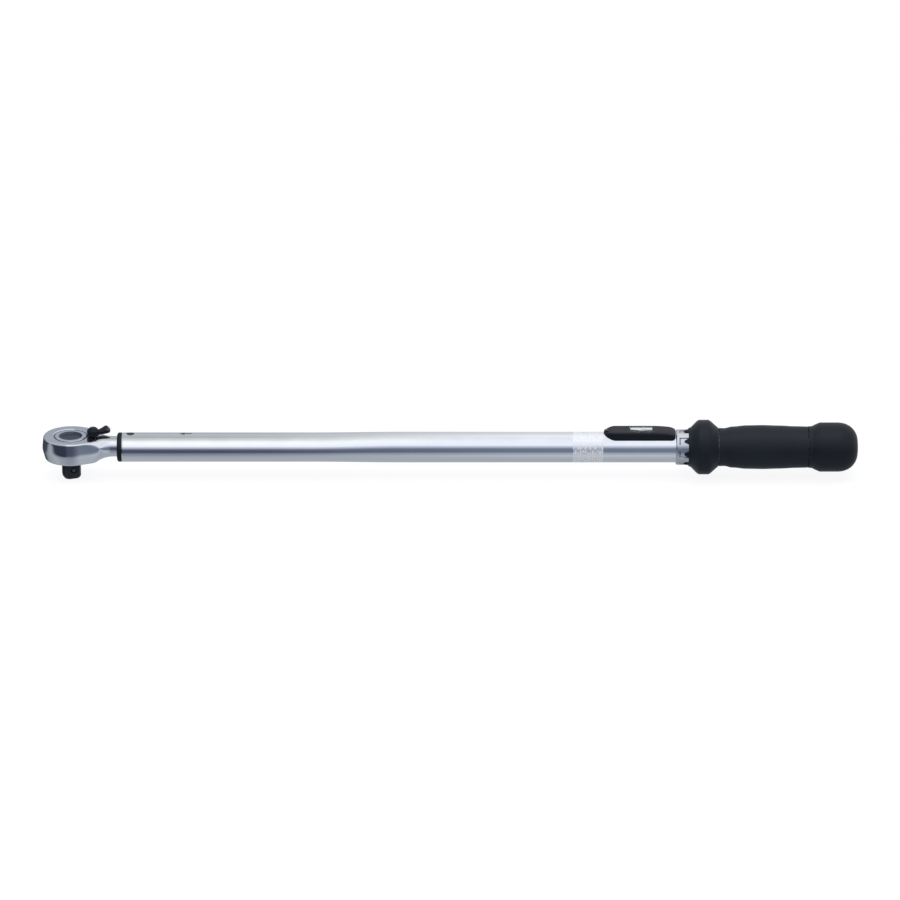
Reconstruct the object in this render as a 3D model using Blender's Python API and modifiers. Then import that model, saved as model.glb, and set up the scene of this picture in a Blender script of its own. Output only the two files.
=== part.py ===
"""Reusable micrometer torque wrench with a half-inch reversible ratchet.

The tube lies along +X with the square drive at its -X end, pointing down. The origin is the centre of
the drive's end face. Every size below is in millimetres; MM turns it into metres.
"""
import math

import bmesh
import bpy
from mathutils import Matrix, Vector

MM = 0.001
GAP = 0.3              # clearance between neighbouring pieces
FINE = 0.0001          # merge distance in metres, also for the modifiers

# Square drive and ratchet head
DRIVE_SQUARE = 12.7
DRIVE_CORNER = 1.6     # chamfer on the square's long corners
DRIVE_LENGTH = 16.4    # from the head's underside to the drive's end face
DRIVE_TURN = 20.0      # degrees by which the square is turned at rest
JOURNAL_STEP = 1.27     # from the square's corners out to its round journal
HEAD_WALL = 8.6         # metal around the ratchet's pocket
HEAD_TOP = 9.7         # above the tube's axis
HEAD_BOTTOM = 8.2      # below the tube's axis
HEAD_TOP_EDGE = 2.0
HEAD_BOTTOM_EDGE = 4.6
NECK_R = 8.1
NECK_RISE = 0.7        # the neck's centre sits this far above the tube's axis
NECK_RUN = 8.7         # from the round end's radius to where the pear has narrowed to the neck
NECK_LENGTH = 9.3      # from there to the mouth of the tube
GEAR_LEDGE = 2.2       # how far the gear stands out over its journal
GEAR_TEETH = 36
GEAR_TOOTH = 1.1
GEAR_HEIGHT = 12.4
COVER_LEDGE = 2.0      # how far the cover stands out over the gear
COVER_THICK = 2.6
COVER_RIM = 4.2        # flat rim around the cover's dish
COVER_DISH = 1.3
RING_WIDTH = 1.1
RING_BITE = 1.1          # depth of the ring's groove beyond the cover's edge
LEVER_HUB_R = 4.8
LEVER_HUB_HEIGHT = 6.4
LEVER_TAIL = 14.0      # from the lever's pivot to the tail's tip
LEVER_SIDE = 25.0      # degrees by which the tail stands off the centre line at rest
SPINDLE_R = 2.7
SPINDLE_CLEAR = 0.35
PAWL_THICK = 3.05
PAWL_HEIGHT = 11.0
DETENT_R = 1.0          # sprung pin between the lever's spindle and the pawl
PAWL_SPAN = 27.0       # half the pawl's angle about the drive's axis, degrees
PAWL_SWING = 4.0       # half the pawl's travel about the drive's axis, degrees
SOCKET_BALL_R = 2.0
SOCKET_BALL_SET = 7.2   # height of the ball's centre above the drive's end face
SOCKET_BALL_OUT = 0.9   # how far the ball stands out of the square's side

# Tube
TUBE_SIDES = 32        # facets around the tube and the nose ring
TUBE_R = 12.1
TUBE_WALL = 1.6
OVAL_SPREAD = 0.8      # the pressed front part is wider than the tube by this on each side
OVAL_PRESS = 0.75      # and lower by this above and below
OVAL_LENGTH = 147.7
OVAL_BLEND = 71.0      # length over which the oval turns round
NOSE_RING_WIDTH = 3.4
PIVOT_SET = 6.7        # from the tube's mouth to the pivot pin
NOSE_CLEAR = 0.14      # left between neck and nose ring when the head has clicked over
PIVOT_R = 3.0

# Click mechanism, a chain along the tube from front to rear
SHANK_LENGTH = 103.0   # from the pivot to the shank's rear end
SHANK_HALF_WIDTH = 5.0
SHANK_SIDE_CLEAR = 3.5 # between the shank's front and the tube's inside, at the sides
SHANK_TOP_CLEAR = 3.25 # and above and below
CLICK_DEG = 2.0        # how far the head tips at the click
BLOCK_LENGTH = 12.0
BLOCK_WIDTH = 8.0
BLOCK_HEIGHT = 10.0
PLUNGER_CLEAR = 1.3    # between the plunger and the tube's bore
PLUNGER_LENGTH = 40.0
SPRING_LENGTH = 165.0
SPRING_WIRE_R = 1.9
SPRING_TURNS = 14
SEAT_LENGTH = 70.0
NUT_LENGTH = 15.0
SCREW_PITCH = 3.0
SCREW_TURNS = 5        # turns of the handle from the lowest to the highest setting
SCREW_R = 5.0
THREAD_DEPTH = 1.1
SCREW_SHANK_R = 4.2
KEY_WIDTH = 5.4
KEY_LENGTH = 8.0

# Scale window
CARRIER_LENGTH = 34.0
CARRIER_WIDTH = 11.0
CARRIER_THICK = 0.8
HOUSING_HALF_WIDTH = 8.7
HOUSING_RISE = 2.9     # height of the housing above the tube
HOUSING_WALL = 1.5
HOUSING_NOSE = 5.5     # solid front of the housing, ahead of its hollow
HOUSING_HEEL = 1.9     # solid rear of the housing, behind its hollow
WINDOW_LENGTH = 18.6
WINDOW_WIDTH = 11.4
LENS_THICK = 1.0
HOUSING_SCREW_R = 1.2

# Collar, lock ring and handle
DOGS = 8
DOG_SPAN = 21.0        # degrees taken up by one dog
DOG_TURN = 27.0        # where the first dog stands, in degrees from the side
COLLAR_LENGTH = 13.6
COLLAR_WALL = 0.8      # above the tube, between the dogs
DOG_HEIGHT = 1.05
LOCK_TRAVEL = 3.0      # how far the lock ring slides forward
SKIRT_LENGTH = 3.4
TOOTH_LENGTH = 2.0
BULGE_RISE = 7.65      # height of the thumb bulge above the lock ring's bore
BULGE_SET = 8.3        # from the skirt's front to the bulge's flat
BULGE_FLAT = 7.6
LOCK_RING_LENGTH = 23.4
SLEEVE_WALL = 1.0
SLEEVE_CLEAR = 0.4     # between the tube and the handle's sleeve
KEYS = 2
KEY_SPAN = 18.0        # degrees taken up by one key of the lock ring
KEY_RUN = 6.0          # length of a key
GRIP_LENGTH = 70.0
GRIP_WALL = 1.1        # at the waist, over the lock ring's bore
GRIP_BELLY = 2.4       # how much the belly stands out over the waist
GRIP_REAR = 1.3        # how much the rear stands out over the waist
CAP_LENGTH = 38.8
CAP_STEP = 3.15        # how much the cap stands out over the grip's rear
FLAT_END_R = 5.0       # flat at the middle of the cap's rounded end
PLUG_LENGTH = 12.0
THRUST_WASHER = 2.5
SCREW_COLLAR_R = 7.5
SCREW_COLLAR = 4.0
SCREW_HEX = 6.6        # across the flats of the screw's driven end
WEB = 11.0             # length of the solid rear end of the handle core
CAP_SCREW_R = 2.5
CAP_SCREW_HEAD_R = 4.5
CAP_SCREW_HEAD = 4.0
PLUG_SCREW_R = 1.7

# Places that follow from the sizes
AXIS_Z = DRIVE_LENGTH + HEAD_BOTTOM
TRAVEL = SCREW_PITCH * SCREW_TURNS
DRIVE_HALF = DRIVE_SQUARE / 2
DRIVE_JOURNAL_R = math.hypot(DRIVE_HALF, DRIVE_HALF - DRIVE_CORNER) + JOURNAL_STEP
GEAR_R = DRIVE_JOURNAL_R + GEAR_LEDGE
COVER_R = GEAR_R + COVER_LEDGE
COVER_DISH_R = COVER_R - COVER_RIM
HEAD_R = COVER_R + GAP + HEAD_WALL
NECK_X = HEAD_R + NECK_RUN
TUBE_START = NECK_X + NECK_LENGTH
PIVOT_X = TUBE_START + PIVOT_SET
TUBE_BORE = TUBE_R - TUBE_WALL
OVAL_Y = TUBE_R + OVAL_SPREAD
OVAL_Z = TUBE_R - OVAL_PRESS
OVAL_END = TUBE_START + OVAL_LENGTH
ROUND_START = OVAL_END + OVAL_BLEND
SHANK_FRONT_WIDTH = OVAL_Y - TUBE_WALL - SHANK_SIDE_CLEAR
SHANK_HALF_HEIGHT = OVAL_Z - TUBE_WALL - SHANK_TOP_CLEAR
PLUNGER_R = TUBE_BORE - PLUNGER_CLEAR
POCKET_FLOOR = -HEAD_BOTTOM + 2.2
GEAR_LOW = POCKET_FLOOR + GAP
GEAR_HIGH = GEAR_LOW + GEAR_HEIGHT
COVER_LOW = GEAR_HIGH + GAP
COVER_HIGH = COVER_LOW + COVER_THICK
PAWL_IN = GEAR_R + GAP
PAWL_OUT = PAWL_IN + PAWL_THICK
PAWL_LOW = GEAR_LOW + (GEAR_HEIGHT - PAWL_HEIGHT) / 2
LEVER_X = PAWL_OUT + SPINDLE_CLEAR + SPINDLE_R
DETENT_Z = GEAR_LOW + GEAR_HEIGHT / 2
BALL_Z = SOCKET_BALL_SET - AXIS_Z
BALL_OUT = DRIVE_HALF - SOCKET_BALL_R + SOCKET_BALL_OUT
SHANK_END = PIVOT_X + SHANK_LENGTH
BLOCK_START = SHANK_END + 0.5
PLUNGER_START = BLOCK_START + BLOCK_LENGTH + 0.5
SPRING_START = PLUNGER_START + PLUNGER_LENGTH + GAP
SEAT_START = SPRING_START + SPRING_LENGTH + GAP
NUT_START = SEAT_START + SEAT_LENGTH + GAP
NUT_END = NUT_START + NUT_LENGTH
CARRIER_START = NUT_START - 0.9
CARRIER_END = CARRIER_START + CARRIER_LENGTH
HOLLOW_START = CARRIER_START - TRAVEL - 0.4
HOLLOW_END = CARRIER_END + 0.4
HOUSING_START = HOLLOW_START - HOUSING_NOSE
HOUSING_END = HOLLOW_END + HOUSING_HEEL
CARRIER_LOW = TUBE_R + 0.35
CARRIER_HIGH = CARRIER_LOW + CARRIER_THICK
LENS_START = CARRIER_START + 0.3
LENS_LOW = CARRIER_HIGH + GAP + 0.5
HOUSING_TOP = TUBE_R + HOUSING_RISE
HOUSING_SCREW_X = HOUSING_START + 3.4
KEY_START = NUT_START + 3.0
COLLAR_BASE_R = TUBE_R + COLLAR_WALL
COLLAR_DOG_R = COLLAR_BASE_R + DOG_HEIGHT
COLLAR_START = HOUSING_END + GAP
COLLAR_END = COLLAR_START + COLLAR_LENGTH
DOG_END = COLLAR_END - 0.6
SLEEVE_BORE = TUBE_R + SLEEVE_CLEAR
SLEEVE_R = SLEEVE_BORE + SLEEVE_WALL
RING_BORE = SLEEVE_R + GAP
SKIRT_BORE = COLLAR_DOG_R + GAP
BULGE_R = RING_BORE + BULGE_RISE
GRIP_WAIST_R = RING_BORE + GRIP_WALL
GRIP_BELLY_R = GRIP_WAIST_R + GRIP_BELLY
GRIP_REAR_R = GRIP_WAIST_R + GRIP_REAR
CAP_R = GRIP_REAR_R + CAP_STEP
TOOTH_START = DOG_END + 0.4
TOOTH_END = TOOTH_START + TOOTH_LENGTH
SKIRT_START = TOOTH_START - SKIRT_LENGTH
LOCK_RING_END = SKIRT_START + LOCK_RING_LENGTH
SLEEVE_START = TOOTH_END + GAP
GRIP_START = LOCK_RING_END + GAP
GRIP_END = GRIP_START + GRIP_LENGTH
CAP_START = GRIP_END + GAP
CAP_END = CAP_START + CAP_LENGTH
SLEEVE_END = CAP_START + 7.0
WEB_START = SLEEVE_END - WEB
TUBE_END = WEB_START - 1.5
PLUG_END = TUBE_END - 1.0
PLUG_START = PLUG_END - PLUG_LENGTH
WASHER_START = PLUG_START - GAP - THRUST_WASHER
SCREW_COLLAR_END = WASHER_START - GAP
SCREW_COLLAR_START = SCREW_COLLAR_END - SCREW_COLLAR
SCREW_END = SLEEVE_END - 1.0
SCREW_FRONT = NUT_START - TRAVEL - 3.0


def new_collection(name):
    """A collection linked to the scene."""
    collection = bpy.data.collections.new(name)
    bpy.context.scene.collection.children.link(collection)
    return collection


for old in list(bpy.data.objects):
    bpy.data.objects.remove(old, do_unlink=True)
PARTS = new_collection("torque_wrench")
CUTTERS = new_collection("cutters")


def material(name, colour, roughness, metallic):
    """A Principled material."""
    made = bpy.data.materials.new(name)
    made.use_nodes = True
    shader = made.node_tree.nodes["Principled BSDF"]
    shader.inputs["Base Color"].default_value = (*colour, 1.0)
    shader.inputs["Roughness"].default_value = roughness
    shader.inputs["Metallic"].default_value = metallic
    return made


CHROME = material("polished_chrome", (0.80, 0.82, 0.86), 0.12, 1.0)
STEEL = material("ground_steel", (0.55, 0.56, 0.58), 0.35, 1.0)
BLACK_STEEL = material("black_oxide_steel", (0.03, 0.032, 0.04), 0.35, 0.9)
SPRING_STEEL = material("spring_steel", (0.30, 0.31, 0.33), 0.35, 1.0)
BLACK_PLASTIC = material("black_nylon", (0.022, 0.027, 0.032), 0.42, 0.0)
GRIP_RUBBER = material("grip_rubber", (0.03, 0.036, 0.042), 0.55, 0.0)
SCALE_WHITE = material("white_scale", (0.75, 0.75, 0.73), 0.5, 0.0)
CLEAR = material("clear_lens", (0.85, 0.88, 0.88), 0.08, 0.0)
BRONZE = material("bearing_bronze", (0.55, 0.38, 0.18), 0.35, 1.0)


def empty(name, place, parent=None):
    """An empty that marks a joint's axis; place is in millimetres, in its parent's frame."""
    made = bpy.data.objects.new(name, None)
    made.location = Vector(place) * MM
    made.parent = parent
    PARTS.objects.link(made)
    return made


TUBE_AXIS = empty("tube_axis", (0, 0, AXIS_Z))
HEAD_PIVOT = empty("head_pivot", (PIVOT_X, 0, 0), TUBE_AXIS)
DRIVE_AXIS = empty("drive_axis", (-PIVOT_X, 0, 0), HEAD_PIVOT)
LEVER_AXIS = empty("lever_axis", (LEVER_X, 0, 0), DRIVE_AXIS)
BLOCK_AXIS = empty("block_axis", (BLOCK_START + BLOCK_LENGTH / 2, 0, 0), TUBE_AXIS)


def add_object(name, mesh, parent, finish=None):
    """Link a mesh as a piece, or as a cutter when it has no finish. The mesh is in millimetres."""
    mesh.transform(Matrix.Scale(MM, 4))
    mesh.update()
    made = bpy.data.objects.new(name, mesh)
    made.parent = parent
    if finish is None:
        CUTTERS.objects.link(made)
        made.hide_render = True
        made.display_type = "WIRE"
    else:
        mesh.materials.append(finish)
        PARTS.objects.link(made)
    return made


def mesh_from(name, points, edges=(), faces=()):
    """A mesh from computed points."""
    mesh = bpy.data.meshes.new(name)
    mesh.from_pydata([Vector(p) for p in points], list(edges), list(faces))
    return mesh


def turned(name, outline, parent, finish=None, steps=32, along="X"):
    """Turn (place, radius) points about X or Z. They run down the outer side, from the highest place."""
    closed = outline[0][1] > 0
    count = len(outline)
    edges = [(i, i + 1) for i in range(count - 1)]
    if closed:
        edges.append((count - 1, 0))
    mesh = mesh_from(name, [(radius, 0, place) for place, radius in outline], edges)
    made = add_object(name, mesh, parent, finish)
    if along == "X":
        made.rotation_euler = (0, math.pi / 2, 0)
    screw = made.modifiers.new("turn", "SCREW")
    screw.axis = "Z"
    screw.angle = 2 * math.pi
    screw.steps = steps
    screw.render_steps = steps
    screw.use_merge_vertices = True
    screw.merge_threshold = FINE / 10
    screw.use_smooth_shade = False
    return made


def rod(low, high, radius):
    """The outline of a plain round bar."""
    return [(high, 0), (high, radius), (low, radius), (low, 0)]


def sleeve(low, high, bore, radius):
    """The outline of a plain ring."""
    return [(high, bore), (high, radius), (low, radius), (low, bore)]


def plate(name, points, low, high, parent, finish=None, plane="XY"):
    """A flat outline with a thickness, from low to high across its plane."""
    curve = bpy.data.curves.new(name, "CURVE")
    curve.dimensions = "2D"
    curve.fill_mode = "BOTH"
    curve.extrude = (high - low) / 2
    spline = curve.splines.new("POLY")
    spline.points.add(len(points) - 1)
    for knot, (u, v) in zip(spline.points, points):
        knot.co = (u, v, 0, 1)
    spline.use_cyclic_u = True
    holder = bpy.data.objects.new(name + "_outline", curve)
    CUTTERS.objects.link(holder)
    seen = holder.evaluated_get(bpy.context.evaluated_depsgraph_get())
    mesh = bpy.data.meshes.new_from_object(seen)
    bpy.data.objects.remove(holder, do_unlink=True)
    mesh.transform(Matrix.Translation((0, 0, (low + high) / 2)))
    if plane == "XZ":
        mesh.transform(Matrix.Rotation(math.pi / 2, 4, "X"))
    if plane == "YZ":
        mesh.transform(Matrix(((0, 0, 1, 0), (1, 0, 0, 0), (0, 1, 0, 0), (0, 0, 0, 1))))
    work = bmesh.new()
    work.from_mesh(mesh)
    bmesh.ops.remove_doubles(work, verts=work.verts, dist=FINE)
    bmesh.ops.recalc_face_normals(work, faces=work.faces)
    work.to_mesh(mesh)
    work.free()
    mesh.materials.clear()
    return add_object(name, mesh, parent, finish)


def block(name, low, high, parent, finish=None):
    """A box between two corners."""
    work = bmesh.new()
    bmesh.ops.create_cube(work, size=1.0)
    for vert in work.verts:
        vert.co = Vector([a + (b - a) * (c + 0.5) for a, b, c in zip(low, high, vert.co)])
    mesh = bpy.data.meshes.new(name)
    work.to_mesh(mesh)
    work.free()
    return add_object(name, mesh, parent, finish)


def combine(target, other, operation):
    """A live Boolean on target; other was made without a finish, so it counts as a cutter."""
    change = target.modifiers.new(other.name, "BOOLEAN")
    change.operation = operation
    change.object = other
    change.solver = "EXACT"
    return target


def cut(target, *cutters):
    """Take the cutters' shapes out of a piece and close up the hair-fine edges that leaves."""
    for cutter in cutters:
        combine(target, cutter, "DIFFERENCE")
    weld = target.modifiers.new("weld", "WELD")
    weld.merge_threshold = 0.2 * FINE


def join(target, *others):
    """Fuse each solid with target."""
    for other in others:
        combine(target, other, "UNION")


def bevelled(made, width, segments=2, angle=40):
    """Round the sharp edges of a piece."""
    edge = made.modifiers.new("edge", "BEVEL")
    edge.width = width * MM
    edge.segments = segments
    edge.limit_method = "ANGLE"
    edge.angle_limit = math.radians(angle)
    return made


def arc(radius, start, end, count, centre=(0, 0)):
    """Points on an arc; angles in degrees."""
    angles = [math.radians(start + (end - start) * i / (count - 1)) for i in range(count)]
    return [(centre[0] + radius * math.cos(a), centre[1] + radius * math.sin(a)) for a in angles]


def pear(inset=0.0):
    """The head's outline seen from above: a circle that narrows to the neck."""
    radius = HEAD_R - inset
    leave = 50.0
    side = [(NECK_X - 8.6, NECK_R + 4.6 - inset), (NECK_X - 3.4, NECK_R + 1.6 - inset),
            (NECK_X + 1.0, NECK_R - 0.9 - inset)]
    points = arc(radius, leave, 360 - leave, 26)
    return points + [(x, -y) for x, y in side] + [(x, y) for x, y in reversed(side)]


def head_forging():
    """Chromed forging: pear-shaped ratchet housing, round neck and the shank inside the tube."""
    steps = [(-HEAD_BOTTOM, HEAD_BOTTOM_EDGE), (-HEAD_BOTTOM + 0.25 * HEAD_BOTTOM_EDGE, 2.0),
             (-HEAD_BOTTOM + 0.6 * HEAD_BOTTOM_EDGE, 0.55), (-HEAD_BOTTOM + HEAD_BOTTOM_EDGE, 0.0),
             (HEAD_TOP - HEAD_TOP_EDGE, 0.0), (HEAD_TOP - 0.35 * HEAD_TOP_EDGE, 0.6),
             (HEAD_TOP, HEAD_TOP_EDGE)]
    points = [(x, y, z) for z, inset in steps for x, y in pear(inset)]
    ring = len(points) // len(steps)
    faces = [tuple(reversed(range(ring))), tuple(range(len(points) - ring, len(points)))]
    for level in range(len(steps) - 1):
        for i in range(ring):
            j = (i + 1) % ring
            base = level * ring
            faces.append((base + i, base + j, base + ring + j, base + ring + i))
    head = add_object("head_forging", mesh_from("head_forging", points, faces=faces), DRIVE_AXIS, CHROME)

    neck_end = PIVOT_X - PIVOT_R - 1.0
    neck = turned("neck_bar", rod(NECK_X - 9.0, neck_end, NECK_R), DRIVE_AXIS, steps=28)
    neck.location = (0, 0, NECK_RISE * MM)
    wide = SHANK_FRONT_WIDTH
    half = [(TUBE_START + 0.4, wide - 0.8), (PIVOT_X - 1.0, wide), (PIVOT_X + 4.0, wide),
            (PIVOT_X + 14.0, SHANK_HALF_WIDTH + 0.8),
            (SHANK_END, SHANK_HALF_WIDTH)]
    outline = [(x, -y) for x, y in half] + [(x, y) for x, y in reversed(half)]
    shank = plate("shank_bar", outline, -SHANK_HALF_HEIGHT, SHANK_HALF_HEIGHT, DRIVE_AXIS)
    bevelled(shank, 1.2, 1)
    join(head, neck, shank)

    pocket = turned("pocket_cutter", rod(POCKET_FLOOR, HEAD_TOP + 1, COVER_R + GAP), DRIVE_AXIS,
                    along="Z", steps=32)
    journal = turned("journal_cutter", rod(-HEAD_BOTTOM - 1, POCKET_FLOOR + 1, DRIVE_JOURNAL_R + GAP),
                     DRIVE_AXIS, along="Z", steps=24)
    groove_low = COVER_HIGH - RING_WIDTH - GAP
    groove = turned("ring_groove_cutter", rod(groove_low, groove_low + RING_WIDTH, COVER_R + RING_BITE),
                    DRIVE_AXIS, along="Z", steps=32)
    room_low = PAWL_LOW - GAP
    room_high = PAWL_LOW + PAWL_HEIGHT + GAP
    room_r = 10.0
    room = turned("pawl_room_cutter", rod(room_low, room_high, room_r), DRIVE_AXIS, along="Z", steps=24)
    room.location = ((LEVER_X + SPINDLE_CLEAR - room_r) * MM, 0, 0)
    spindle = turned("spindle_cutter", rod(room_low - 0.9, HEAD_TOP + 1, SPINDLE_R + GAP), LEVER_AXIS,
                     along="Z", steps=16)
    pin = turned("head_pin_cutter", rod(-NECK_R - 3, NECK_R + 3, PIVOT_R + GAP), HEAD_PIVOT,
                 along="Z", steps=16)
    cut(head, pocket, journal, groove, room, spindle, pin)
    return head


def gear_outline():
    """The ratchet gear's toothed outline."""
    points = []
    root = GEAR_R - GEAR_TOOTH
    for tooth in range(GEAR_TEETH):
        for share, radius in ((0.0, root), (0.5, GEAR_R), (0.62, GEAR_R)):
            angle = 2 * math.pi * (tooth + share) / GEAR_TEETH
            points.append((radius * math.cos(angle), radius * math.sin(angle)))
    return points


def drive_gear():
    """Ratchet gear, round journal and half-inch square in one piece of hardened steel."""
    gear = plate("drive_gear", gear_outline(), GEAR_LOW, GEAR_HIGH, DRIVE_AXIS, BLACK_STEEL)
    journal = turned("drive_journal", rod(-HEAD_BOTTOM - 0.6, GEAR_LOW + 1, DRIVE_JOURNAL_R), DRIVE_AXIS,
                     along="Z", steps=28)
    near = DRIVE_HALF - DRIVE_CORNER
    corners = [(DRIVE_HALF, near), (near, DRIVE_HALF)]
    outline = []
    for quarter in range(4):
        turn = Matrix.Rotation(math.radians(90 * quarter + DRIVE_TURN), 2)
        outline += [tuple(turn @ Vector(corner)) for corner in corners]
    square = plate("drive_square", outline, -AXIS_Z, -HEAD_BOTTOM + 1, DRIVE_AXIS)
    end = square.modifiers.new("end_chamfer", "BEVEL")
    end.width = 0.9 * MM
    end.segments = 1
    end.limit_method = "ANGLE"
    end.angle_limit = math.radians(60)
    join(gear, journal, square)
    bore = turned("ball_bore_cutter", rod(2.2, DRIVE_SQUARE, SOCKET_BALL_R + GAP), DRIVE_AXIS, steps=16)
    bore.rotation_euler = (0, math.pi / 2, math.radians(DRIVE_TURN - 90))
    bore.location = (0, 0, BALL_Z * MM)
    cut(gear, bore)
    return gear


def socket_ball():
    """Spring-loaded ball that holds a socket on the square."""
    work = bmesh.new()
    bmesh.ops.create_uvsphere(work, u_segments=12, v_segments=8, radius=SOCKET_BALL_R)
    mesh = bpy.data.meshes.new("socket_ball")
    work.to_mesh(mesh)
    work.free()
    ball = add_object("socket_ball", mesh, DRIVE_AXIS, STEEL)
    side = math.radians(DRIVE_TURN - 90)
    ball.location = (BALL_OUT * math.cos(side) * MM, BALL_OUT * math.sin(side) * MM, BALL_Z * MM)
    return ball


def cover_disc():
    """Round cover with a dished centre that closes the ratchet pocket."""
    outline = [(COVER_HIGH - COVER_DISH, 0), (COVER_HIGH - COVER_DISH, COVER_DISH_R - 1.6),
               (COVER_HIGH - 0.25 * COVER_DISH, COVER_DISH_R), (COVER_HIGH, COVER_DISH_R + 0.7),
               (COVER_HIGH, COVER_R - RING_WIDTH - 0.2), (COVER_HIGH - RING_WIDTH - 2 * GAP, COVER_R - RING_WIDTH),
               (COVER_HIGH - RING_WIDTH - 2 * GAP, COVER_R), (COVER_LOW, COVER_R), (COVER_LOW, 0)]
    return turned("cover_disc", outline, DRIVE_AXIS, CHROME, along="Z", steps=28)


def retaining_ring():
    """Split spring ring that snaps into a groove over the cover."""
    low = COVER_HIGH - RING_WIDTH
    inner = COVER_R - RING_WIDTH + 0.4
    outer = COVER_R + RING_BITE - GAP
    start = 14.0
    points = arc(outer, start, 360 - start, 28) + arc(inner, 360 - start, start, 28)
    return plate("retaining_ring", points, low, low + RING_WIDTH - 2 * GAP, DRIVE_AXIS, STEEL)


def pawl():
    """Crescent pawl between the gear and the reversing spindle."""
    first = PAWL_SWING - PAWL_SPAN
    last = PAWL_SWING + PAWL_SPAN
    points = arc(PAWL_OUT, first, last, 13) + arc(PAWL_IN, last, first, 19)
    return plate("pawl", points, PAWL_LOW, PAWL_LOW + PAWL_HEIGHT, DRIVE_AXIS, STEEL)


def reverse_lever():
    """Thumb lever on top of the head, in one piece with its spindle."""
    low = HEAD_TOP + GAP
    top = low + LEVER_HUB_HEIGHT
    hub = [(top, 0), (top - 0.25, LEVER_HUB_R * 0.55), (top - 1.1, LEVER_HUB_R * 0.85),
           (top - 2.6, LEVER_HUB_R), (low, LEVER_HUB_R), (low, SPINDLE_R)]
    lever = turned("reverse_lever", hub + [(PAWL_LOW, SPINDLE_R), (PAWL_LOW, 0)], LEVER_AXIS,
                   BLACK_PLASTIC, along="Z", steps=24)
    side = [(-1.0, low + 0.2), (LEVER_HUB_R, low + 0.2), (LEVER_TAIL - 1.0, low + 1.6),
            (LEVER_TAIL, top - 1.0), (LEVER_TAIL - 0.8, top - 0.2), (LEVER_TAIL - 4.0, top - 1.4),
            (LEVER_HUB_R + 1.8, top - 3.0), (-1.0, top - 2.9)]
    tail = plate("lever_tail", side, -6, 6, LEVER_AXIS, plane="XZ")
    plan = [(-1.0, -2.9), (LEVER_HUB_R + 1.0, -3.0), (LEVER_TAIL - 1.0, -4.6), (LEVER_TAIL + 0.2, -3.9),
            (LEVER_TAIL + 0.8, 0)]
    plan += [(x, -y) for x, y in reversed(plan[:-1])]
    shape = plate("lever_plan", plan, low - 1, top + 1, LEVER_AXIS)
    turn = math.radians(LEVER_SIDE)
    tail.rotation_euler = (0, 0, turn)
    shape.rotation_euler = (0, 0, turn)
    combine(tail, shape, "INTERSECT")
    join(lever, tail)
    hole = turned("lever_pin_cutter", rod(-SPINDLE_R - 1, 0.6, DETENT_R + GAP), LEVER_AXIS, steps=12)
    hole.rotation_euler = (0, math.pi / 2, turn)
    hole.location = (0, 0, DETENT_Z * MM)
    cut(lever, hole)
    return lever


def pawl_pin():
    """Sprung pin in the spindle that pushes the pawl over."""
    pin = turned("pawl_pin", [(0.2, 0), (0.2, DETENT_R), (-SPINDLE_R + 0.5, DETENT_R),
                              (-SPINDLE_R - 0.05, 0.4), (-SPINDLE_R - 0.05, 0)], LEVER_AXIS, STEEL, steps=12)
    pin.rotation_euler = (0, math.pi / 2, math.radians(LEVER_SIDE))
    pin.location = (0, 0, DETENT_Z * MM)
    return pin


def tube_section(x):
    """Half width and half height of the tube's outside at x."""
    share = min(1.0, max(0.0, (x - OVAL_END) / (ROUND_START - OVAL_END)))
    blend = share * share * (3 - 2 * share)
    return OVAL_Y + (TUBE_R - OVAL_Y) * blend, OVAL_Z + (TUBE_R - OVAL_Z) * blend


def tube():
    """Drawn steel tube, pressed to an oval in front, with the scale slot and the pin holes."""
    around = TUBE_SIDES
    places = [TUBE_START, OVAL_END]
    places += [OVAL_END + (ROUND_START - OVAL_END) * i / 4 for i in range(1, 5)]
    places += [TUBE_END]
    points = []
    for x in places:
        half_y, half_z = tube_section(x)
        for i in range(around):
            angle = 2 * math.pi * i / around
            points.append((x, half_y * math.cos(angle), half_z * math.sin(angle)))
    faces = []
    for level in range(len(places) - 1):
        for i in range(around):
            j = (i + 1) % around
            base = level * around
            faces.append((base + i, base + j, base + around + j, base + around + i))
    made = add_object("tube", mesh_from("tube", points, faces=faces), TUBE_AXIS, CHROME)
    wall = made.modifiers.new("wall", "SOLIDIFY")
    wall.thickness = TUBE_WALL * MM
    wall.offset = -1
    pin = turned("tube_pin_cutter", rod(-TUBE_R - 2, TUBE_R + 2, PIVOT_R + GAP), HEAD_PIVOT,
                 along="Z", steps=20)
    slot = block("scale_slot_cutter", (KEY_START - TRAVEL - GAP, -KEY_WIDTH / 2 - GAP, 0),
                 (KEY_START + KEY_LENGTH + GAP, KEY_WIDTH / 2 + GAP, TUBE_R + 2), TUBE_AXIS)
    hole = turned("housing_screw_tube_cutter", rod(TUBE_BORE - 2, TUBE_R + 2, HOUSING_SCREW_R + GAP), TUBE_AXIS,
                  along="Z", steps=12)
    hole.location = (HOUSING_SCREW_X * MM, 0, 0)
    plug_holes = [plug_screw_cutter("tube_plug_cutter", index) for index in range(2)]
    cut(made, pin, slot, hole, *plug_holes)
    return made


def plug_screw_cutter(name, index):
    """Radial hole for one of the two screws that hold the tube's end plug."""
    hole = turned(f"{name}_{index}", rod(5.4, TUBE_R + 3, PLUG_SCREW_R + GAP), TUBE_AXIS, steps=12)
    hole.rotation_euler = (0, math.radians(180 * index), 0)
    hole.location = ((PLUG_START + PLUG_END) / 2 * MM, 0, 0)
    return hole


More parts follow.
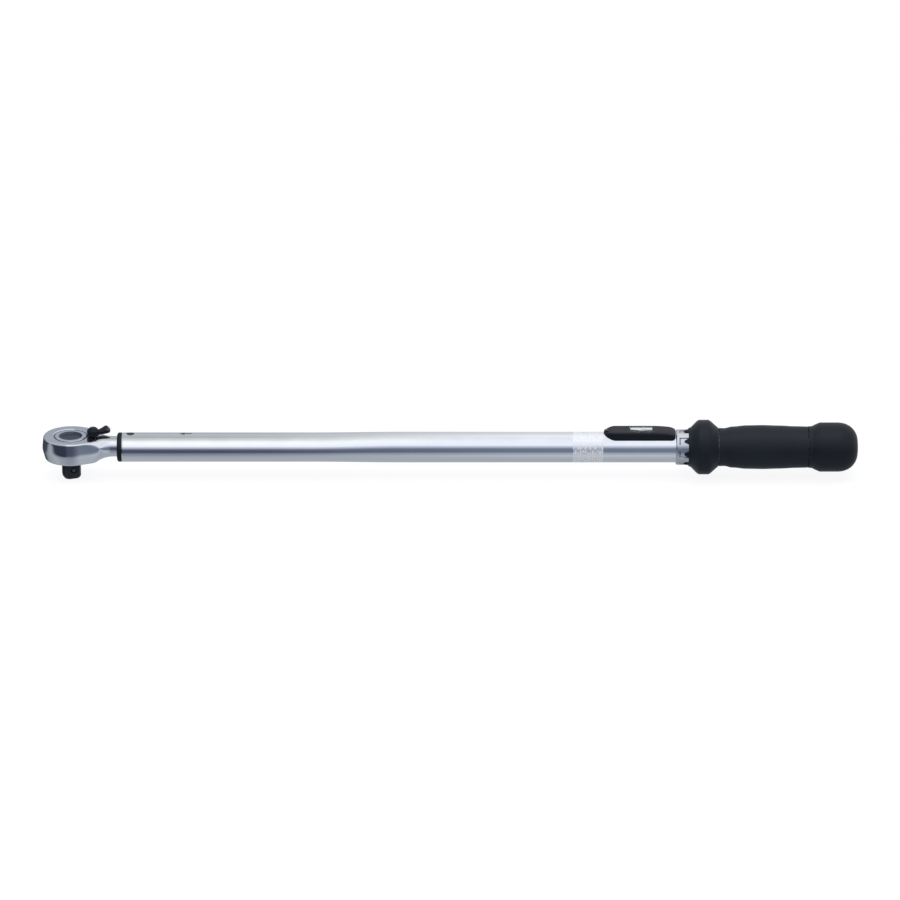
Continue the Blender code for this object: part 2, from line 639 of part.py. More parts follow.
def nose_ring():
    """Black seal ring on the mouth of the tube, clear of the neck."""
    start = TUBE_START - GAP - NOSE_RING_WIDTH
    shape = [(start, -1.0), (start + 0.8, 0.0), (TUBE_START - GAP, 0.0)]
    around = TUBE_SIDES
    half_y, half_z = tube_section(TUBE_START)
    points = []
    for x, grow in shape:
        for i in range(around):
            angle = 2 * math.pi * i / around
            points.append((x, (half_y + grow) * math.cos(angle), (half_z + grow) * math.sin(angle)))
    faces = [tuple(range(around)), tuple(reversed(range(2 * around, 3 * around)))]
    for level in range(2):
        for i in range(around):
            j = (i + 1) % around
            base = level * around
            faces.append((base + i, base + around + i, base + around + j, base + j))
    mesh = mesh_from("nose_ring", points, faces=faces)
    mesh.flip_normals()
    ring = add_object("nose_ring", mesh, TUBE_AXIS, BLACK_PLASTIC)
    swing = (PIVOT_X - start) * math.tan(math.radians(CLICK_DEG))
    bore = NECK_R + NECK_RISE + NOSE_CLEAR + swing
    hole = turned("nose_ring_cutter", rod(start - 1, TUBE_START + 1, bore), TUBE_AXIS, steps=24)
    cut(ring, hole)
    return ring


def pivot_pin():
    """Upright pin that the head tilts on, pressed through the tube."""
    length = OVAL_Z - 0.15
    return turned("pivot_pin", [(length, 0), (length, PIVOT_R - 0.4), (length - 0.4, PIVOT_R),
                                (0.4 - length, PIVOT_R), (-length, PIVOT_R - 0.4), (-length, 0)],
                  HEAD_PIVOT, STEEL, along="Z", steps=20)


def tilt_block():
    """Hardened block that stands between shank and plunger and tips over at the click."""
    half_l, half_w, ease = BLOCK_LENGTH / 2, BLOCK_WIDTH / 2, 1.5
    quarter = [(half_l, half_w - ease), (half_l - ease, half_w)]
    points = quarter + [(-x, y) for x, y in reversed(quarter)] + [(-x, -y) for x, y in quarter]
    points += [(x, -y) for x, y in reversed(quarter)]
    return plate("tilt_block", points, -BLOCK_HEIGHT / 2, BLOCK_HEIGHT / 2, BLOCK_AXIS, STEEL)


def plunger():
    """Guide plunger between the tilt block and the main spring."""
    end = PLUNGER_START + PLUNGER_LENGTH
    outline = [(end, 0), (end, PLUNGER_R), (PLUNGER_START + 1, PLUNGER_R), (PLUNGER_START, PLUNGER_R - 1),
               (PLUNGER_START, 0)]
    return turned("plunger", outline, TUBE_AXIS, STEEL, steps=28)


def main_spring():
    """Compression spring that sets the click torque."""
    per_turn = 8
    mean_r = PLUNGER_R - SPRING_WIRE_R - 0.1
    run = SPRING_LENGTH - 2 * SPRING_WIRE_R
    curve = bpy.data.curves.new("main_spring", "CURVE")
    curve.dimensions = "3D"
    curve.bevel_depth = SPRING_WIRE_R * MM
    curve.bevel_resolution = 1
    curve.use_fill_caps = True
    spline = curve.splines.new("POLY")
    total = SPRING_TURNS * per_turn
    spline.points.add(total)
    for i, knot in enumerate(spline.points):
        angle = 2 * math.pi * i / per_turn
        x = SPRING_START + SPRING_WIRE_R + run * i / total
        knot.co = (x * MM, mean_r * math.cos(angle) * MM, mean_r * math.sin(angle) * MM, 1)
    spring = bpy.data.objects.new("main_spring", curve)
    spring.parent = TUBE_AXIS
    curve.materials.append(SPRING_STEEL)
    PARTS.objects.link(spring)
    return spring


def spring_seat():
    """Hollow spring seat that the screw's front end runs into."""
    end = SEAT_START + SEAT_LENGTH
    bore = SCREW_R + 1.2
    bottom = SCREW_FRONT - TRAVEL - 4
    outline = [(end, bore), (end, PLUNGER_R), (SEAT_START, PLUNGER_R), (SEAT_START, 1.5), (bottom, 1.5),
               (bottom, bore)]
    return turned("spring_seat", outline, TUBE_AXIS, STEEL, steps=24)


def thread(name, start, end, crest, root, finish=None):
    """A helical thread as a closed solid; its two ends follow the helix."""
    around = 12
    turns = int(math.ceil((end - start) / SCREW_PITCH))
    form = [(0.0, root), (0.25, crest), (0.5, crest), (0.75, root)]
    rows = []
    for turn in range(turns):
        rows += [((turn + share) * SCREW_PITCH, radius) for share, radius in form]
    points = []
    for along, radius in rows:
        for i in range(around):
            angle = 2 * math.pi * i / around
            x = start + along + SCREW_PITCH * i / around
            points.append((x, radius * math.cos(angle), radius * math.sin(angle)))
    faces = []
    last = len(rows) - 1
    for row in range(last):
        for i in range(around - 1):
            base = row * around
            faces.append((base + i, base + i + 1, base + around + i + 1, base + around + i))
    seam = len(form)
    for row in range(last - seam):
        low = row * around + around - 1
        high = (row + seam) * around
        faces.append((low, high, high + around, low + around))
    front, back = len(points), len(points) + 1
    points += [(start + SCREW_PITCH / 2, 0, 0), (rows[-1][0] + start + SCREW_PITCH / 2, 0, 0)]
    faces += [(front, i + 1, i) for i in range(around - 1)]
    faces += [(front, row * around, (row + 1) * around) for row in range(seam)]
    faces.append((front, seam * around, around - 1))
    top = last * around
    faces += [(back, top + i, top + i + 1) for i in range(around - 1)]
    for row in range(last - seam, last):
        low = row * around + around - 1
        faces.append((back, low + around, low))
    faces.append((back, (last - seam) * around + around - 1, top))
    mesh = mesh_from(name, points, faces=faces)
    work = bmesh.new()
    work.from_mesh(mesh)
    bmesh.ops.triangulate(work, faces=work.faces)
    bmesh.ops.recalc_face_normals(work, faces=work.faces)
    if work.calc_volume(signed=True) < 0:
        bmesh.ops.reverse_faces(work, faces=work.faces)
    work.to_mesh(mesh)
    work.free()
    return add_object(name, mesh, TUBE_AXIS, finish)


def running_nut():
    """Nut on the adjusting screw; its key runs in the tube's slot and carries the scale."""
    outline = [(NUT_END, 0), (NUT_END, PLUNGER_R), (NUT_START, PLUNGER_R), (NUT_START, 0)]
    nut = turned("running_nut", outline, TUBE_AXIS, BRONZE, steps=24)
    key = block("nut_key", (KEY_START, -KEY_WIDTH / 2, PLUNGER_R - 2),
                (KEY_START + KEY_LENGTH, KEY_WIDTH / 2, CARRIER_HIGH), TUBE_AXIS)
    join(nut, key)
    clear = 0.45
    start = NUT_START - 3 * SCREW_PITCH
    bore = thread("nut_thread_cutter", start, NUT_END + 2 * SCREW_PITCH, SCREW_R + clear,
                  SCREW_R - THREAD_DEPTH + clear)
    cut(nut, bore)
    return nut


def scale_carrier():
    """White plate under the window, fixed on the nut's key."""
    carrier = block("scale_carrier", (CARRIER_START, -CARRIER_WIDTH / 2, CARRIER_LOW),
                    (CARRIER_END, CARRIER_WIDTH / 2, CARRIER_HIGH), TUBE_AXIS, SCALE_WHITE)
    hole = block("carrier_key_cutter", (KEY_START - GAP, -KEY_WIDTH / 2 - GAP, CARRIER_LOW - 1),
                 (KEY_START + KEY_LENGTH + GAP, KEY_WIDTH / 2 + GAP, CARRIER_HIGH + 1), TUBE_AXIS)
    cut(carrier, hole)
    return carrier


def adjusting_screw():
    """Screw that the handle turns: threaded front, plain shank, thrust collar and hexagon end."""
    nut_phase = NUT_START - 3 * SCREW_PITCH
    turns_back = math.ceil((nut_phase - SCREW_FRONT) / SCREW_PITCH) + 1
    start = nut_phase - turns_back * SCREW_PITCH
    end = NUT_END + 4.0
    screw = thread("adjusting_screw", start, end + 2 * SCREW_PITCH, SCREW_R, SCREW_R - THREAD_DEPTH, STEEL)
    trim = turned("screw_trim", rod(SCREW_FRONT, end, SCREW_R + 2), TUBE_AXIS, steps=16)
    combine(screw, trim, "INTERSECT")
    shank = turned("screw_shank", [(PLUG_END + 2, 0), (PLUG_END + 2, SCREW_SHANK_R),
                                   (SCREW_COLLAR_END, SCREW_SHANK_R), (SCREW_COLLAR_END, SCREW_COLLAR_R),
                                   (SCREW_COLLAR_START, SCREW_COLLAR_R), (SCREW_COLLAR_START, SCREW_SHANK_R),
                                   (end - 1, SCREW_SHANK_R), (end - 1, 0)], TUBE_AXIS, steps=24)
    corner = SCREW_HEX / math.sqrt(3)
    hexagon = plate("screw_hexagon", arc(corner, 0, 300, 6), PLUG_END + 1, SCREW_END, TUBE_AXIS, plane="YZ")
    join(screw, shank, hexagon)
    hole = turned("screw_end_cutter", rod(SCREW_END - 9, SCREW_END + 1, CAP_SCREW_R + GAP), TUBE_AXIS, steps=12)
    cut(screw, hole)
    return screw


def thrust_washer():
    """Thrust bearing between the screw's collar and the tube's end plug."""
    outline = sleeve(WASHER_START, WASHER_START + THRUST_WASHER, SCREW_SHANK_R + 0.4, TUBE_BORE - 1.2)
    return turned("thrust_washer", outline, TUBE_AXIS, BRONZE, steps=24)


def end_plug():
    """Plug in the rear of the tube that takes the spring's thrust."""
    outline = sleeve(PLUG_START, PLUG_END, SCREW_SHANK_R + 0.4, TUBE_BORE - GAP)
    plug = turned("end_plug", outline, TUBE_AXIS, STEEL, steps=24)
    cut(plug, *[plug_screw_cutter("end_plug_cutter", index) for index in range(2)])
    return plug


def plug_screws():
    """Two headless screws through the tube into the end plug."""
    for index in range(2):
        made = turned(f"plug_screw_{index + 1}", rod(6.0, TUBE_R - 0.2, PLUG_SCREW_R), TUBE_AXIS, STEEL,
                      steps=12)
        made.rotation_euler = (0, math.radians(180 * index), 0)
        made.location = ((PLUG_START + PLUG_END) / 2 * MM, 0, 0)


def window_housing():
    """Black housing with a rounded front that sits on the tube over the scale."""
    wide = HOUSING_HALF_WIDTH
    nose = 7.0
    front = [(HOUSING_START + nose - x, y) for x, y in
             [(nose * math.cos(math.radians(a)), wide * math.sin(math.radians(a))) for a in range(-90, 91, 18)]]
    plan = [(HOUSING_END - 1.2, -wide)] + front + [(HOUSING_END - 1.2, wide), (HOUSING_END, wide - 1.2),
                                                   (HOUSING_END, 1.2 - wide)]
    housing = plate("window_housing", plan, 0, HOUSING_TOP, TUBE_AXIS, BLACK_PLASTIC)
    slope_top = HOUSING_TOP + 1
    heel = [(HOLLOW_END - 14, HOUSING_TOP), (HOLLOW_END - 2.5, HOUSING_TOP - 0.85), (HOUSING_END + 1, TUBE_R + 0.4),
            (HOUSING_END + 1, slope_top), (HOLLOW_END - 14, slope_top)]
    heel_cut = plate("housing_heel_cutter", heel, -wide - 1, wide + 1, TUBE_AXIS, plane="XZ")
    prow = [(HOUSING_START - 1, HOUSING_TOP - 2.6), (HOUSING_START, HOUSING_TOP - 1.9),
            (HOUSING_START + 2.6, HOUSING_TOP), (HOUSING_START + 2.6, slope_top), (HOUSING_START - 1, slope_top)]
    prow_cut = plate("housing_prow_cutter", prow, -wide - 1, wide + 1, TUBE_AXIS, plane="XZ")
    saddle = turned("housing_saddle_cutter", rod(HOUSING_START - 2, HOUSING_END + 2, TUBE_R + GAP), TUBE_AXIS,
                    steps=32)
    hollow = block("housing_hollow_cutter", (HOLLOW_START, -CARRIER_WIDTH / 2 - 0.4, TUBE_R - 4),
                   (HOLLOW_END, CARRIER_WIDTH / 2 + 0.4, CARRIER_HIGH + GAP), TUBE_AXIS)
    x0, x1 = LENS_START, LENS_START + WINDOW_LENGTH
    recess = block("lens_recess_cutter", (x0 - GAP, -WINDOW_WIDTH / 2 - GAP, LENS_LOW - GAP),
                   (x1 + GAP, WINDOW_WIDTH / 2 + GAP, HOUSING_TOP + 1), TUBE_AXIS)
    opening = block("window_cutter", (x0 + 1, -WINDOW_WIDTH / 2 + 1, TUBE_R - 2),
                    (x1 - 1, WINDOW_WIDTH / 2 - 1, HOUSING_TOP + 1), TUBE_AXIS)
    bore = turned("housing_screw_cutter", [(HOUSING_TOP + 1, 0), (HOUSING_TOP + 1, 2.5), (HOUSING_TOP - 1.5, 2.5),
                                           (HOUSING_TOP - 1.5, HOUSING_SCREW_R + GAP),
                                           (TUBE_R - 2, HOUSING_SCREW_R + GAP), (TUBE_R - 2, 0)],
                  TUBE_AXIS, along="Z", steps=16)
    bore.location = (HOUSING_SCREW_X * MM, 0, 0)
    cut(housing, heel_cut, prow_cut, saddle, hollow, recess, opening, bore)
    return housing


def window_lens():
    """Clear lens in the housing's window."""
    lens = block("window_lens", (LENS_START, -WINDOW_WIDTH / 2, LENS_LOW),
                 (LENS_START + WINDOW_LENGTH, WINDOW_WIDTH / 2, LENS_LOW + LENS_THICK), TUBE_AXIS, CLEAR)
    return lens


def housing_screw():
    """Small screw that holds the front of the housing on the tube."""
    outline = [(HOUSING_TOP - 0.35, 0), (HOUSING_TOP - 0.35, 1.6), (HOUSING_TOP - 0.7, 2.15),
               (HOUSING_TOP - 1.5 + GAP, 2.15), (HOUSING_TOP - 1.5 + GAP, HOUSING_SCREW_R),
               (TUBE_BORE + 0.2, HOUSING_SCREW_R), (TUBE_BORE + 0.2, 0)]
    screw = turned("housing_screw", outline, TUBE_AXIS, STEEL, along="Z", steps=16)
    screw.location = (HOUSING_SCREW_X * MM, 0, 0)
    return screw


def ring_sector(low_r, high_r, middle, span, count=4):
    """Outline of part of a ring, seen along the tube; angles in degrees from +Y."""
    start, end = middle - span / 2, middle + span / 2
    return arc(high_r, start, end, count) + arc(low_r, end, start, count)


def index_collar():
    """Chromed collar fixed on the tube, with dogs for the lock ring."""
    outline = [(COLLAR_END, TUBE_R + GAP), (COLLAR_END, COLLAR_BASE_R), (COLLAR_START + 3.4, COLLAR_BASE_R),
               (COLLAR_START + 2.6, COLLAR_DOG_R), (COLLAR_START + 0.8, COLLAR_DOG_R),
               (COLLAR_START, COLLAR_DOG_R - 0.7), (COLLAR_START, TUBE_R + GAP)]
    collar = turned("index_collar", outline, TUBE_AXIS, CHROME, steps=40)
    for index in range(DOGS):
        middle = DOG_TURN + 360 * index / DOGS
        points = ring_sector(COLLAR_BASE_R - 0.25, COLLAR_DOG_R, middle, DOG_SPAN)
        dog = plate(f"collar_dog_{index}", points, COLLAR_START + 1.5, DOG_END, TUBE_AXIS, plane="YZ")
        join(collar, dog)
    return collar


def lock_ring():
    """Ring with a thumb bulge: fingers in front, teeth inside, and keys that slide on the sleeve."""
    flat_start = SKIRT_START + BULGE_SET
    flat_end = flat_start + BULGE_FLAT
    outline = [(LOCK_RING_END, RING_BORE), (LOCK_RING_END, GRIP_WAIST_R + 0.5),
               (flat_end + 5.9, GRIP_WAIST_R + 1.7), (flat_end + 1.6, BULGE_R - 1.0), (flat_end, BULGE_R),
               (flat_start, BULGE_R), (flat_start - 1.6, BULGE_R - 0.9), (SKIRT_START + 2.0, SKIRT_BORE + 1.5),
               (SKIRT_START, SKIRT_BORE + 0.6), (SKIRT_START, SKIRT_BORE), (TOOTH_START, SKIRT_BORE),
               (TOOTH_START, COLLAR_BASE_R + GAP), (TOOTH_END, COLLAR_BASE_R + GAP), (TOOTH_END, RING_BORE)]
    ring = turned("lock_ring", outline, TUBE_AXIS, BLACK_PLASTIC, steps=40)
    key_start = SLEEVE_START + LOCK_TRAVEL + 2
    for index in range(KEYS):
        points = ring_sector(SLEEVE_BORE + 0.2, RING_BORE + 0.6, 90 + 360 * index / KEYS, KEY_SPAN, 3)
        key = plate(f"lock_key_{index}", points, key_start, key_start + KEY_RUN, TUBE_AXIS, plane="YZ")
        join(ring, key)
    slot_end = DOG_END + LOCK_TRAVEL + GAP
    cutters = []
    for index in range(DOGS):
        middle = DOG_TURN + 360 * index / DOGS
        room = ring_sector(COLLAR_BASE_R - 1, SKIRT_BORE + 0.05, middle, DOG_SPAN + 4)
        slot = plate(f"lock_slot_cutter_{index}", room, SKIRT_START + 1, slot_end, TUBE_AXIS, plane="YZ")
        through = ring_sector(COLLAR_BASE_R, BULGE_R, middle, DOG_SPAN + 3)
        notch = plate(f"lock_notch_cutter_{index}", through, SKIRT_START - 1, SKIRT_START + 2.4, TUBE_AXIS,
                      plane="YZ")
        cutters += [slot, notch]
    cut(ring, *cutters)
    return ring


def handle_core():
    """Steel sleeve that turns on the tube; its rear web drives the adjusting screw."""
    outline = [(SLEEVE_END, 0), (SLEEVE_END, SLEEVE_R), (SLEEVE_START, SLEEVE_R), (SLEEVE_START, SLEEVE_BORE),
               (WEB_START, SLEEVE_BORE), (WEB_START, 0)]
    core = turned("handle_core", outline, TUBE_AXIS, STEEL, steps=32)
    corner = (SCREW_HEX + 2 * GAP) / math.sqrt(3)
    hexagon = plate("core_hexagon_cutter", arc(corner, 0, 300, 6), WEB_START - 1, SLEEVE_END + 1, TUBE_AXIS,
                    plane="YZ")
    slot_end = SLEEVE_START + LOCK_TRAVEL + 2 + KEY_RUN + 0.5
    slots = []
    for index in range(KEYS):
        points = ring_sector(SLEEVE_BORE - 1, SLEEVE_R + 1, 90 + 360 * index / KEYS, KEY_SPAN + 4, 3)
        slots.append(plate(f"core_slot_cutter_{index}", points, SLEEVE_START - 1, slot_end, TUBE_AXIS,
                           plane="YZ"))
    cut(core, hexagon, *slots)
    return core


def grip():
    """Barrel-shaped grip over the sleeve."""
    length = GRIP_LENGTH
    shares = [(1.0, GRIP_REAR_R), (0.86, GRIP_REAR_R + 0.2), (0.68, GRIP_BELLY_R - 0.35),
              (0.5, GRIP_BELLY_R), (0.32, GRIP_BELLY_R - 0.2), (0.15, GRIP_WAIST_R + 1.25),
              (0.06, GRIP_WAIST_R), (0.0, GRIP_WAIST_R + 0.1)]
    outline = [(GRIP_START + length * share, radius) for share, radius in shares]
    outline += [(GRIP_START, RING_BORE), (GRIP_END, RING_BORE)]
    return turned("grip", outline, TUBE_AXIS, GRIP_RUBBER, steps=32)


def end_cap():
    """Wide rounded cap on the rear of the handle."""
    flat = CAP_START + 9.4
    dome = CAP_END - 16.2
    depth = CAP_END - dome
    curve = [(CAP_END, FLAT_END_R)]
    for angle in (20, 42, 66):
        turn = math.radians(angle)
        radius = FLAT_END_R + (CAP_R - FLAT_END_R) * math.sin(turn)
        curve.append((dome + depth * math.cos(turn) ** 0.9, radius))
    seat = SLEEVE_END + GAP
    outline = [(CAP_END, 0)] + curve + [(dome, CAP_R), (flat, CAP_R), (CAP_START + 4.6, CAP_R - 1.6),
                                        (CAP_START + 1.6, GRIP_REAR_R + 0.35), (CAP_START, GRIP_REAR_R + 0.15),
                                        (CAP_START, RING_BORE), (seat, RING_BORE), (seat, CAP_SCREW_HEAD_R + 1),
                                        (seat + CAP_SCREW_HEAD + 1, CAP_SCREW_HEAD_R + 1),
                                        (seat + CAP_SCREW_HEAD + 1, 0)]
    return turned("end_cap", outline, TUBE_AXIS, BLACK_PLASTIC, steps=32)


def cap_screw():
    """Screw that ties the handle core to the adjusting screw."""
    head = SLEEVE_END + GAP
    outline = [(head + CAP_SCREW_HEAD, 0), (head + CAP_SCREW_HEAD, CAP_SCREW_HEAD_R - 0.4),
               (head + CAP_SCREW_HEAD - 0.4, CAP_SCREW_HEAD_R), (head, CAP_SCREW_HEAD_R), (head, CAP_SCREW_R),
               (SCREW_END - 8, CAP_SCREW_R), (SCREW_END - 8, 0)]
    return turned("cap_screw", outline, TUBE_AXIS, STEEL, steps=16)


PIECES = (head_forging, drive_gear, socket_ball, cover_disc, retaining_ring, pawl, reverse_lever, pawl_pin,
          tube, nose_ring, pivot_pin, tilt_block, plunger, main_spring, spring_seat, running_nut, scale_carrier,
          adjusting_screw, thrust_washer, end_plug, plug_screws, window_housing, window_lens, housing_screw,
          index_collar, lock_ring, handle_core, grip, end_cap, cap_screw)
for make in PIECES:
    make()
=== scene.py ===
"""Looks of a click-type torque wrench: ratchet head, chromed tube, window housing and turning handle."""
import math

import bmesh
import bpy
from mathutils import Matrix, Vector


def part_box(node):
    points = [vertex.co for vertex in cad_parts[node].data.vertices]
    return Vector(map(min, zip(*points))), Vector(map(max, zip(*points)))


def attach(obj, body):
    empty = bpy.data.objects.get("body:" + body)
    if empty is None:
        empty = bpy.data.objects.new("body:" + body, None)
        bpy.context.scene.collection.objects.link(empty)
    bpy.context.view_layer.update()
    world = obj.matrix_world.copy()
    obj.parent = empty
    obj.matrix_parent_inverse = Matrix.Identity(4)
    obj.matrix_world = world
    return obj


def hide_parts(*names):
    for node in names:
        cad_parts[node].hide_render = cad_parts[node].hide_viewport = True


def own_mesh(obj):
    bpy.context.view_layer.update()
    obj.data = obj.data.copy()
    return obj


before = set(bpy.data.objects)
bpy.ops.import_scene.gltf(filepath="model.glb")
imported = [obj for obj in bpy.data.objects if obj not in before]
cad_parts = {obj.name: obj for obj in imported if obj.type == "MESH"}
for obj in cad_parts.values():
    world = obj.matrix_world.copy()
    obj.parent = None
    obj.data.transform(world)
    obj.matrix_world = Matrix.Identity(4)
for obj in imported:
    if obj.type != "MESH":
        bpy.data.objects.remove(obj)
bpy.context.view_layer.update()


# --- Units and helpers ---
# Lengths are millimetres until a mesh is made. Heights are measured from the tube's line, axis_z
# above the table, unless a comment says otherwise.
mm = 0.001
MULTIPLY, ARCTAN2, FRACT, FLOOR, MAXIMUM, LESS_THAN = (
    {"operation": word} for word in ("MULTIPLY", "ARCTAN2", "FRACT", "FLOOR", "MAXIMUM", "LESS_THAN"))
OUTPUT, PRINCIPLED, MIX_SHADER, MIX, MATHS, MAP_RANGE, NOISE, BUMP = (
    f"ShaderNode{kind}" for kind in
    ("OutputMaterial", "BsdfPrincipled", "MixShader", "Mix", "Math", "MapRange", "TexNoise", "Bump"))
COLOUR_MIX = {"data_type": "RGBA"}
SMOOTH_STEP = {"interpolation_type": "SMOOTHSTEP"}
scene = bpy.context.scene
scene.view_settings.view_transform = "Standard"

cap_low, cap_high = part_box("end_cap")
axis_z = (cap_low.z + cap_high.z) / 2 / mm


def hex_colour(code, alpha=1.0):
    """An sRGB hex colour as the linear colour that shaders take."""
    shares = [int(code[i:i + 2], 16) / 255 for i in (0, 2, 4)]
    linear = [s / 12.92 if s <= 0.04045 else ((s + 0.055) / 1.055) ** 2.4 for s in shares]
    return (*linear, alpha)


def add(tree, kind, settings=None, **inputs):
    """Adds a node. An input is a value, a node or one of its outputs; i0, i1 name inputs by place."""
    node = tree.nodes.new(kind)
    for name, value in (settings or {}).items():
        setattr(node, name, value)
    for name, value in inputs.items():
        place = name[1:]
        socket = node.inputs[int(place)] if place.isdigit() else node.inputs[name.replace("_", " ")]
        if isinstance(value, bpy.types.Node):
            value = value.outputs[0]
        if isinstance(value, bpy.types.NodeSocket):
            tree.links.new(value, socket)
        else:
            socket.default_value = value
    return node


def new_material(name):
    """An empty node material, its tree and the place on the object that its textures follow."""
    made = bpy.data.materials.new(name)
    made.use_nodes = True
    made.node_tree.nodes.clear()
    return made, made.node_tree, add(made.node_tree, "ShaderNodeTexCoord").outputs["Object"]


def placed(name, data):
    """A new object in the scene."""
    made = bpy.data.objects.new(name, data)
    scene.collection.objects.link(made)
    return made


def plain_solid(name, kind, **sizes):
    """A new object from one of bmesh's own shapes."""
    mesh = bpy.data.meshes.new(name)
    work = bmesh.new()
    getattr(bmesh.ops, f"create_{kind}")(work, **sizes)
    work.to_mesh(mesh)
    work.free()
    return placed(name, mesh)


# --- Camera, floor and lights ---
# A long lens looks down on the wrench from the front, with the head on the left. The floor is a
# plain white sweep under an even white sky and one large soft box.
camera_lift = math.radians(21.5)
camera_range = 4.0
lens_per_metre = 50.95
aim = Vector((0.2976, 0, axis_z * mm - 0.0025))
camera = placed("camera", bpy.data.cameras.new("camera"))
camera.data.sensor_width = 36
camera.data.lens = lens_per_metre * camera_range
camera.location = aim + camera_range * Vector((0, -math.cos(camera_lift), math.sin(camera_lift)))
camera.rotation_euler = (math.pi / 2 - camera_lift, 0, 0)
scene.camera = camera

world = bpy.data.worlds.new("white_sky")
world.use_nodes = True
sky = world.node_tree.nodes["Background"]
sky.inputs["Color"].default_value = hex_colour("FBFCFF")
sky.inputs["Strength"].default_value = 1.3
scene.world = world

floor = plain_solid("floor", "circle", cap_ends=True, segments=64, radius=30)
floor.visible_glossy = False
paper, tree, _ = new_material("white_paper_sweep")
matt = add(tree, "ShaderNodeBsdfDiffuse", Color=hex_colour("FAFAFB"))
lit = add(tree, "ShaderNodeEmission", Color=hex_colour("FDFDFE"), Strength=1.0)
both = add(tree, MIX_SHADER, Fac=0.9, i1=matt, i2=lit)
add(tree, OUTPUT, Surface=both)
floor.data.materials.append(paper)

soft_box = placed("soft_box", bpy.data.lights.new("soft_box", "AREA"))
soft_box.data.shape = "RECTANGLE"
soft_box.data.size = 2.4
soft_box.data.size_y = 1.4
soft_box.data.energy = 22
soft_box.location = (0.25, -0.35, 1.7)
soft_box.rotation_euler = (math.radians(-12), 0, 0)

# The light tent that polished metal mirrors: white overhead, a dark gap in front at table height
# and grey below. Only glossy rays see it.
tent_radius = 0.55
tent_half = 2.5
head_blend = (0.04, 0.43)
left_blend = (-0.07, -0.2)
tent = plain_solid("light_tent", "cone", cap_ends=True, segments=96, radius1=tent_radius,
                   radius2=tent_radius, depth=2 * tent_half, matrix=Matrix.Rotation(math.pi / 2, 4, "Y"))
tent.location = (0, 0, axis_z * mm)
for kind in ("camera", "diffuse", "transmission", "volume_scatter", "shadow"):
    setattr(tent, f"visible_{kind}", False)
cloth, tree, place = new_material("light_tent_cloth")
cloth.cycles.emission_sampling = "NONE"
where = add(tree, "ShaderNodeSeparateXYZ", Vector=place)
front = add(tree, MATHS, MULTIPLY, i0=where.outputs["Y"], i1=-1.0)
angle = add(tree, MATHS, ARCTAN2, i0=where.outputs["Z"], i1=front)
share = add(tree, MAP_RANGE, i0=angle, i1=-math.pi, i2=math.pi)


def tent_ramp(stops):
    """A colour ramp over the angle round the tent: 0 degrees is level in front, 90 overhead."""
    ramp = add(tree, "ShaderNodeValToRGB", Fac=share)
    ramp.color_ramp.interpolation = "EASE"
    for i, (degrees, code) in enumerate(stops):
        place = (degrees + 180) / 360
        knot = ramp.color_ramp.elements[i] if i < 2 else ramp.color_ramp.elements.new(place)
        knot.position = place
        knot.color = hex_colour(code)
    return ramp.outputs["Color"]


head_end = tent_ramp([(-180, "BCC1C5"), (180, "BCC1C5"), (158, "A0A6B2"), (-109, "A7ABAF"),
                      (-68, "A0A6AC"), (-38, "848996"), (-13, "484C5F"), (1, "4C5064"), (11, "717589"),
                      (24, "BCC0D1"), (37, "F1F6FF"), (59, "FFFFFF"), (78, "EBF1F1"), (90, "C8CFCF"),
                      (115, "ACB2B4"), (145, "B8BDBF")])
handle_end = tent_ramp([(-180, "D2D5D7"), (180, "D2D5D7"), (-109, "A3A6AC"), (-72, "A6ABB2"),
                        (-48, "B6BBC5"), (-30, "A0A7B4"), (-13, "6C7685"), (1, "6C7685"),
                        (11, "7F8897"), (24, "C0C6D7"), (37, "EDF3FF"), (59, "E7EDF9"),
                        (85, "E1E4EB"), (112, "EFF0F5"), (145, "D5D7DB")])
far_left = tent_ramp([(-180, "39404C"), (180, "8A9099"), (-150, "39404C"), (-118, "959AA1"),
                      (-68, "A6ACB2"), (-42, "8E939E"), (-22, "2F3643"), (8, "353D49"), (24, "8A93A0"),
                      (37, "A3ABB7"), (90, "B5BABF")])
along, past = [add(tree, MAP_RANGE, SMOOTH_STEP, i0=where.outputs["X"], i1=start, i2=end)
               for start, end in (head_blend, left_blend)]
blend = add(tree, MIX, COLOUR_MIX, Factor=along, i6=head_end, i7=handle_end)
whole = add(tree, MIX, COLOUR_MIX, Factor=past, i6=blend.outputs[2], i7=far_left)
glow = add(tree, "ShaderNodeEmission", Color=whole.outputs[2], Strength=1.12)
add(tree, OUTPUT, Surface=glow)
tent.data.materials.append(cloth)


# --- Chromed tube ---
# A drawn steel tube, pressed to a low oval in front and round behind, polished and bright chromed.
# The maker's panel near the window and an arrow near the head are etched, which leaves them matt.
def chrome_plate(name, colour="EBEDF0", roughness=0.07, etched=None):
    """Bright chrome over polished steel, with fine lengthwise polishing marks and faint smears."""
    made, tree, place = new_material(name)
    smear = add(tree, NOISE, Vector=place, Scale=45.0, Detail=3.0)
    marks_run = add(tree, "ShaderNodeMapping", Vector=place, Scale=(30.0, 900.0, 900.0))
    marks = add(tree, NOISE, Vector=marks_run, Scale=1.0, Detail=2.0)
    rough = add(tree, MAP_RANGE, i0=smear, i1=0.3, i2=0.75, i3=roughness,
                i4=roughness + 0.07)
    base = add(tree, MIX, COLOUR_MIX, Factor=smear, i6=hex_colour(colour), i7=hex_colour("F1F2F4"))
    bump = add(tree, BUMP, Strength=0.05, Distance=0.00002, Height=marks)
    metal = add(tree, PRINCIPLED, Base_Color=base.outputs[2], Metallic=1.0,
                Roughness=rough, Normal=bump)
    add(tree, OUTPUT, Surface=etched(tree, place, metal) if etched else metal)
    return made


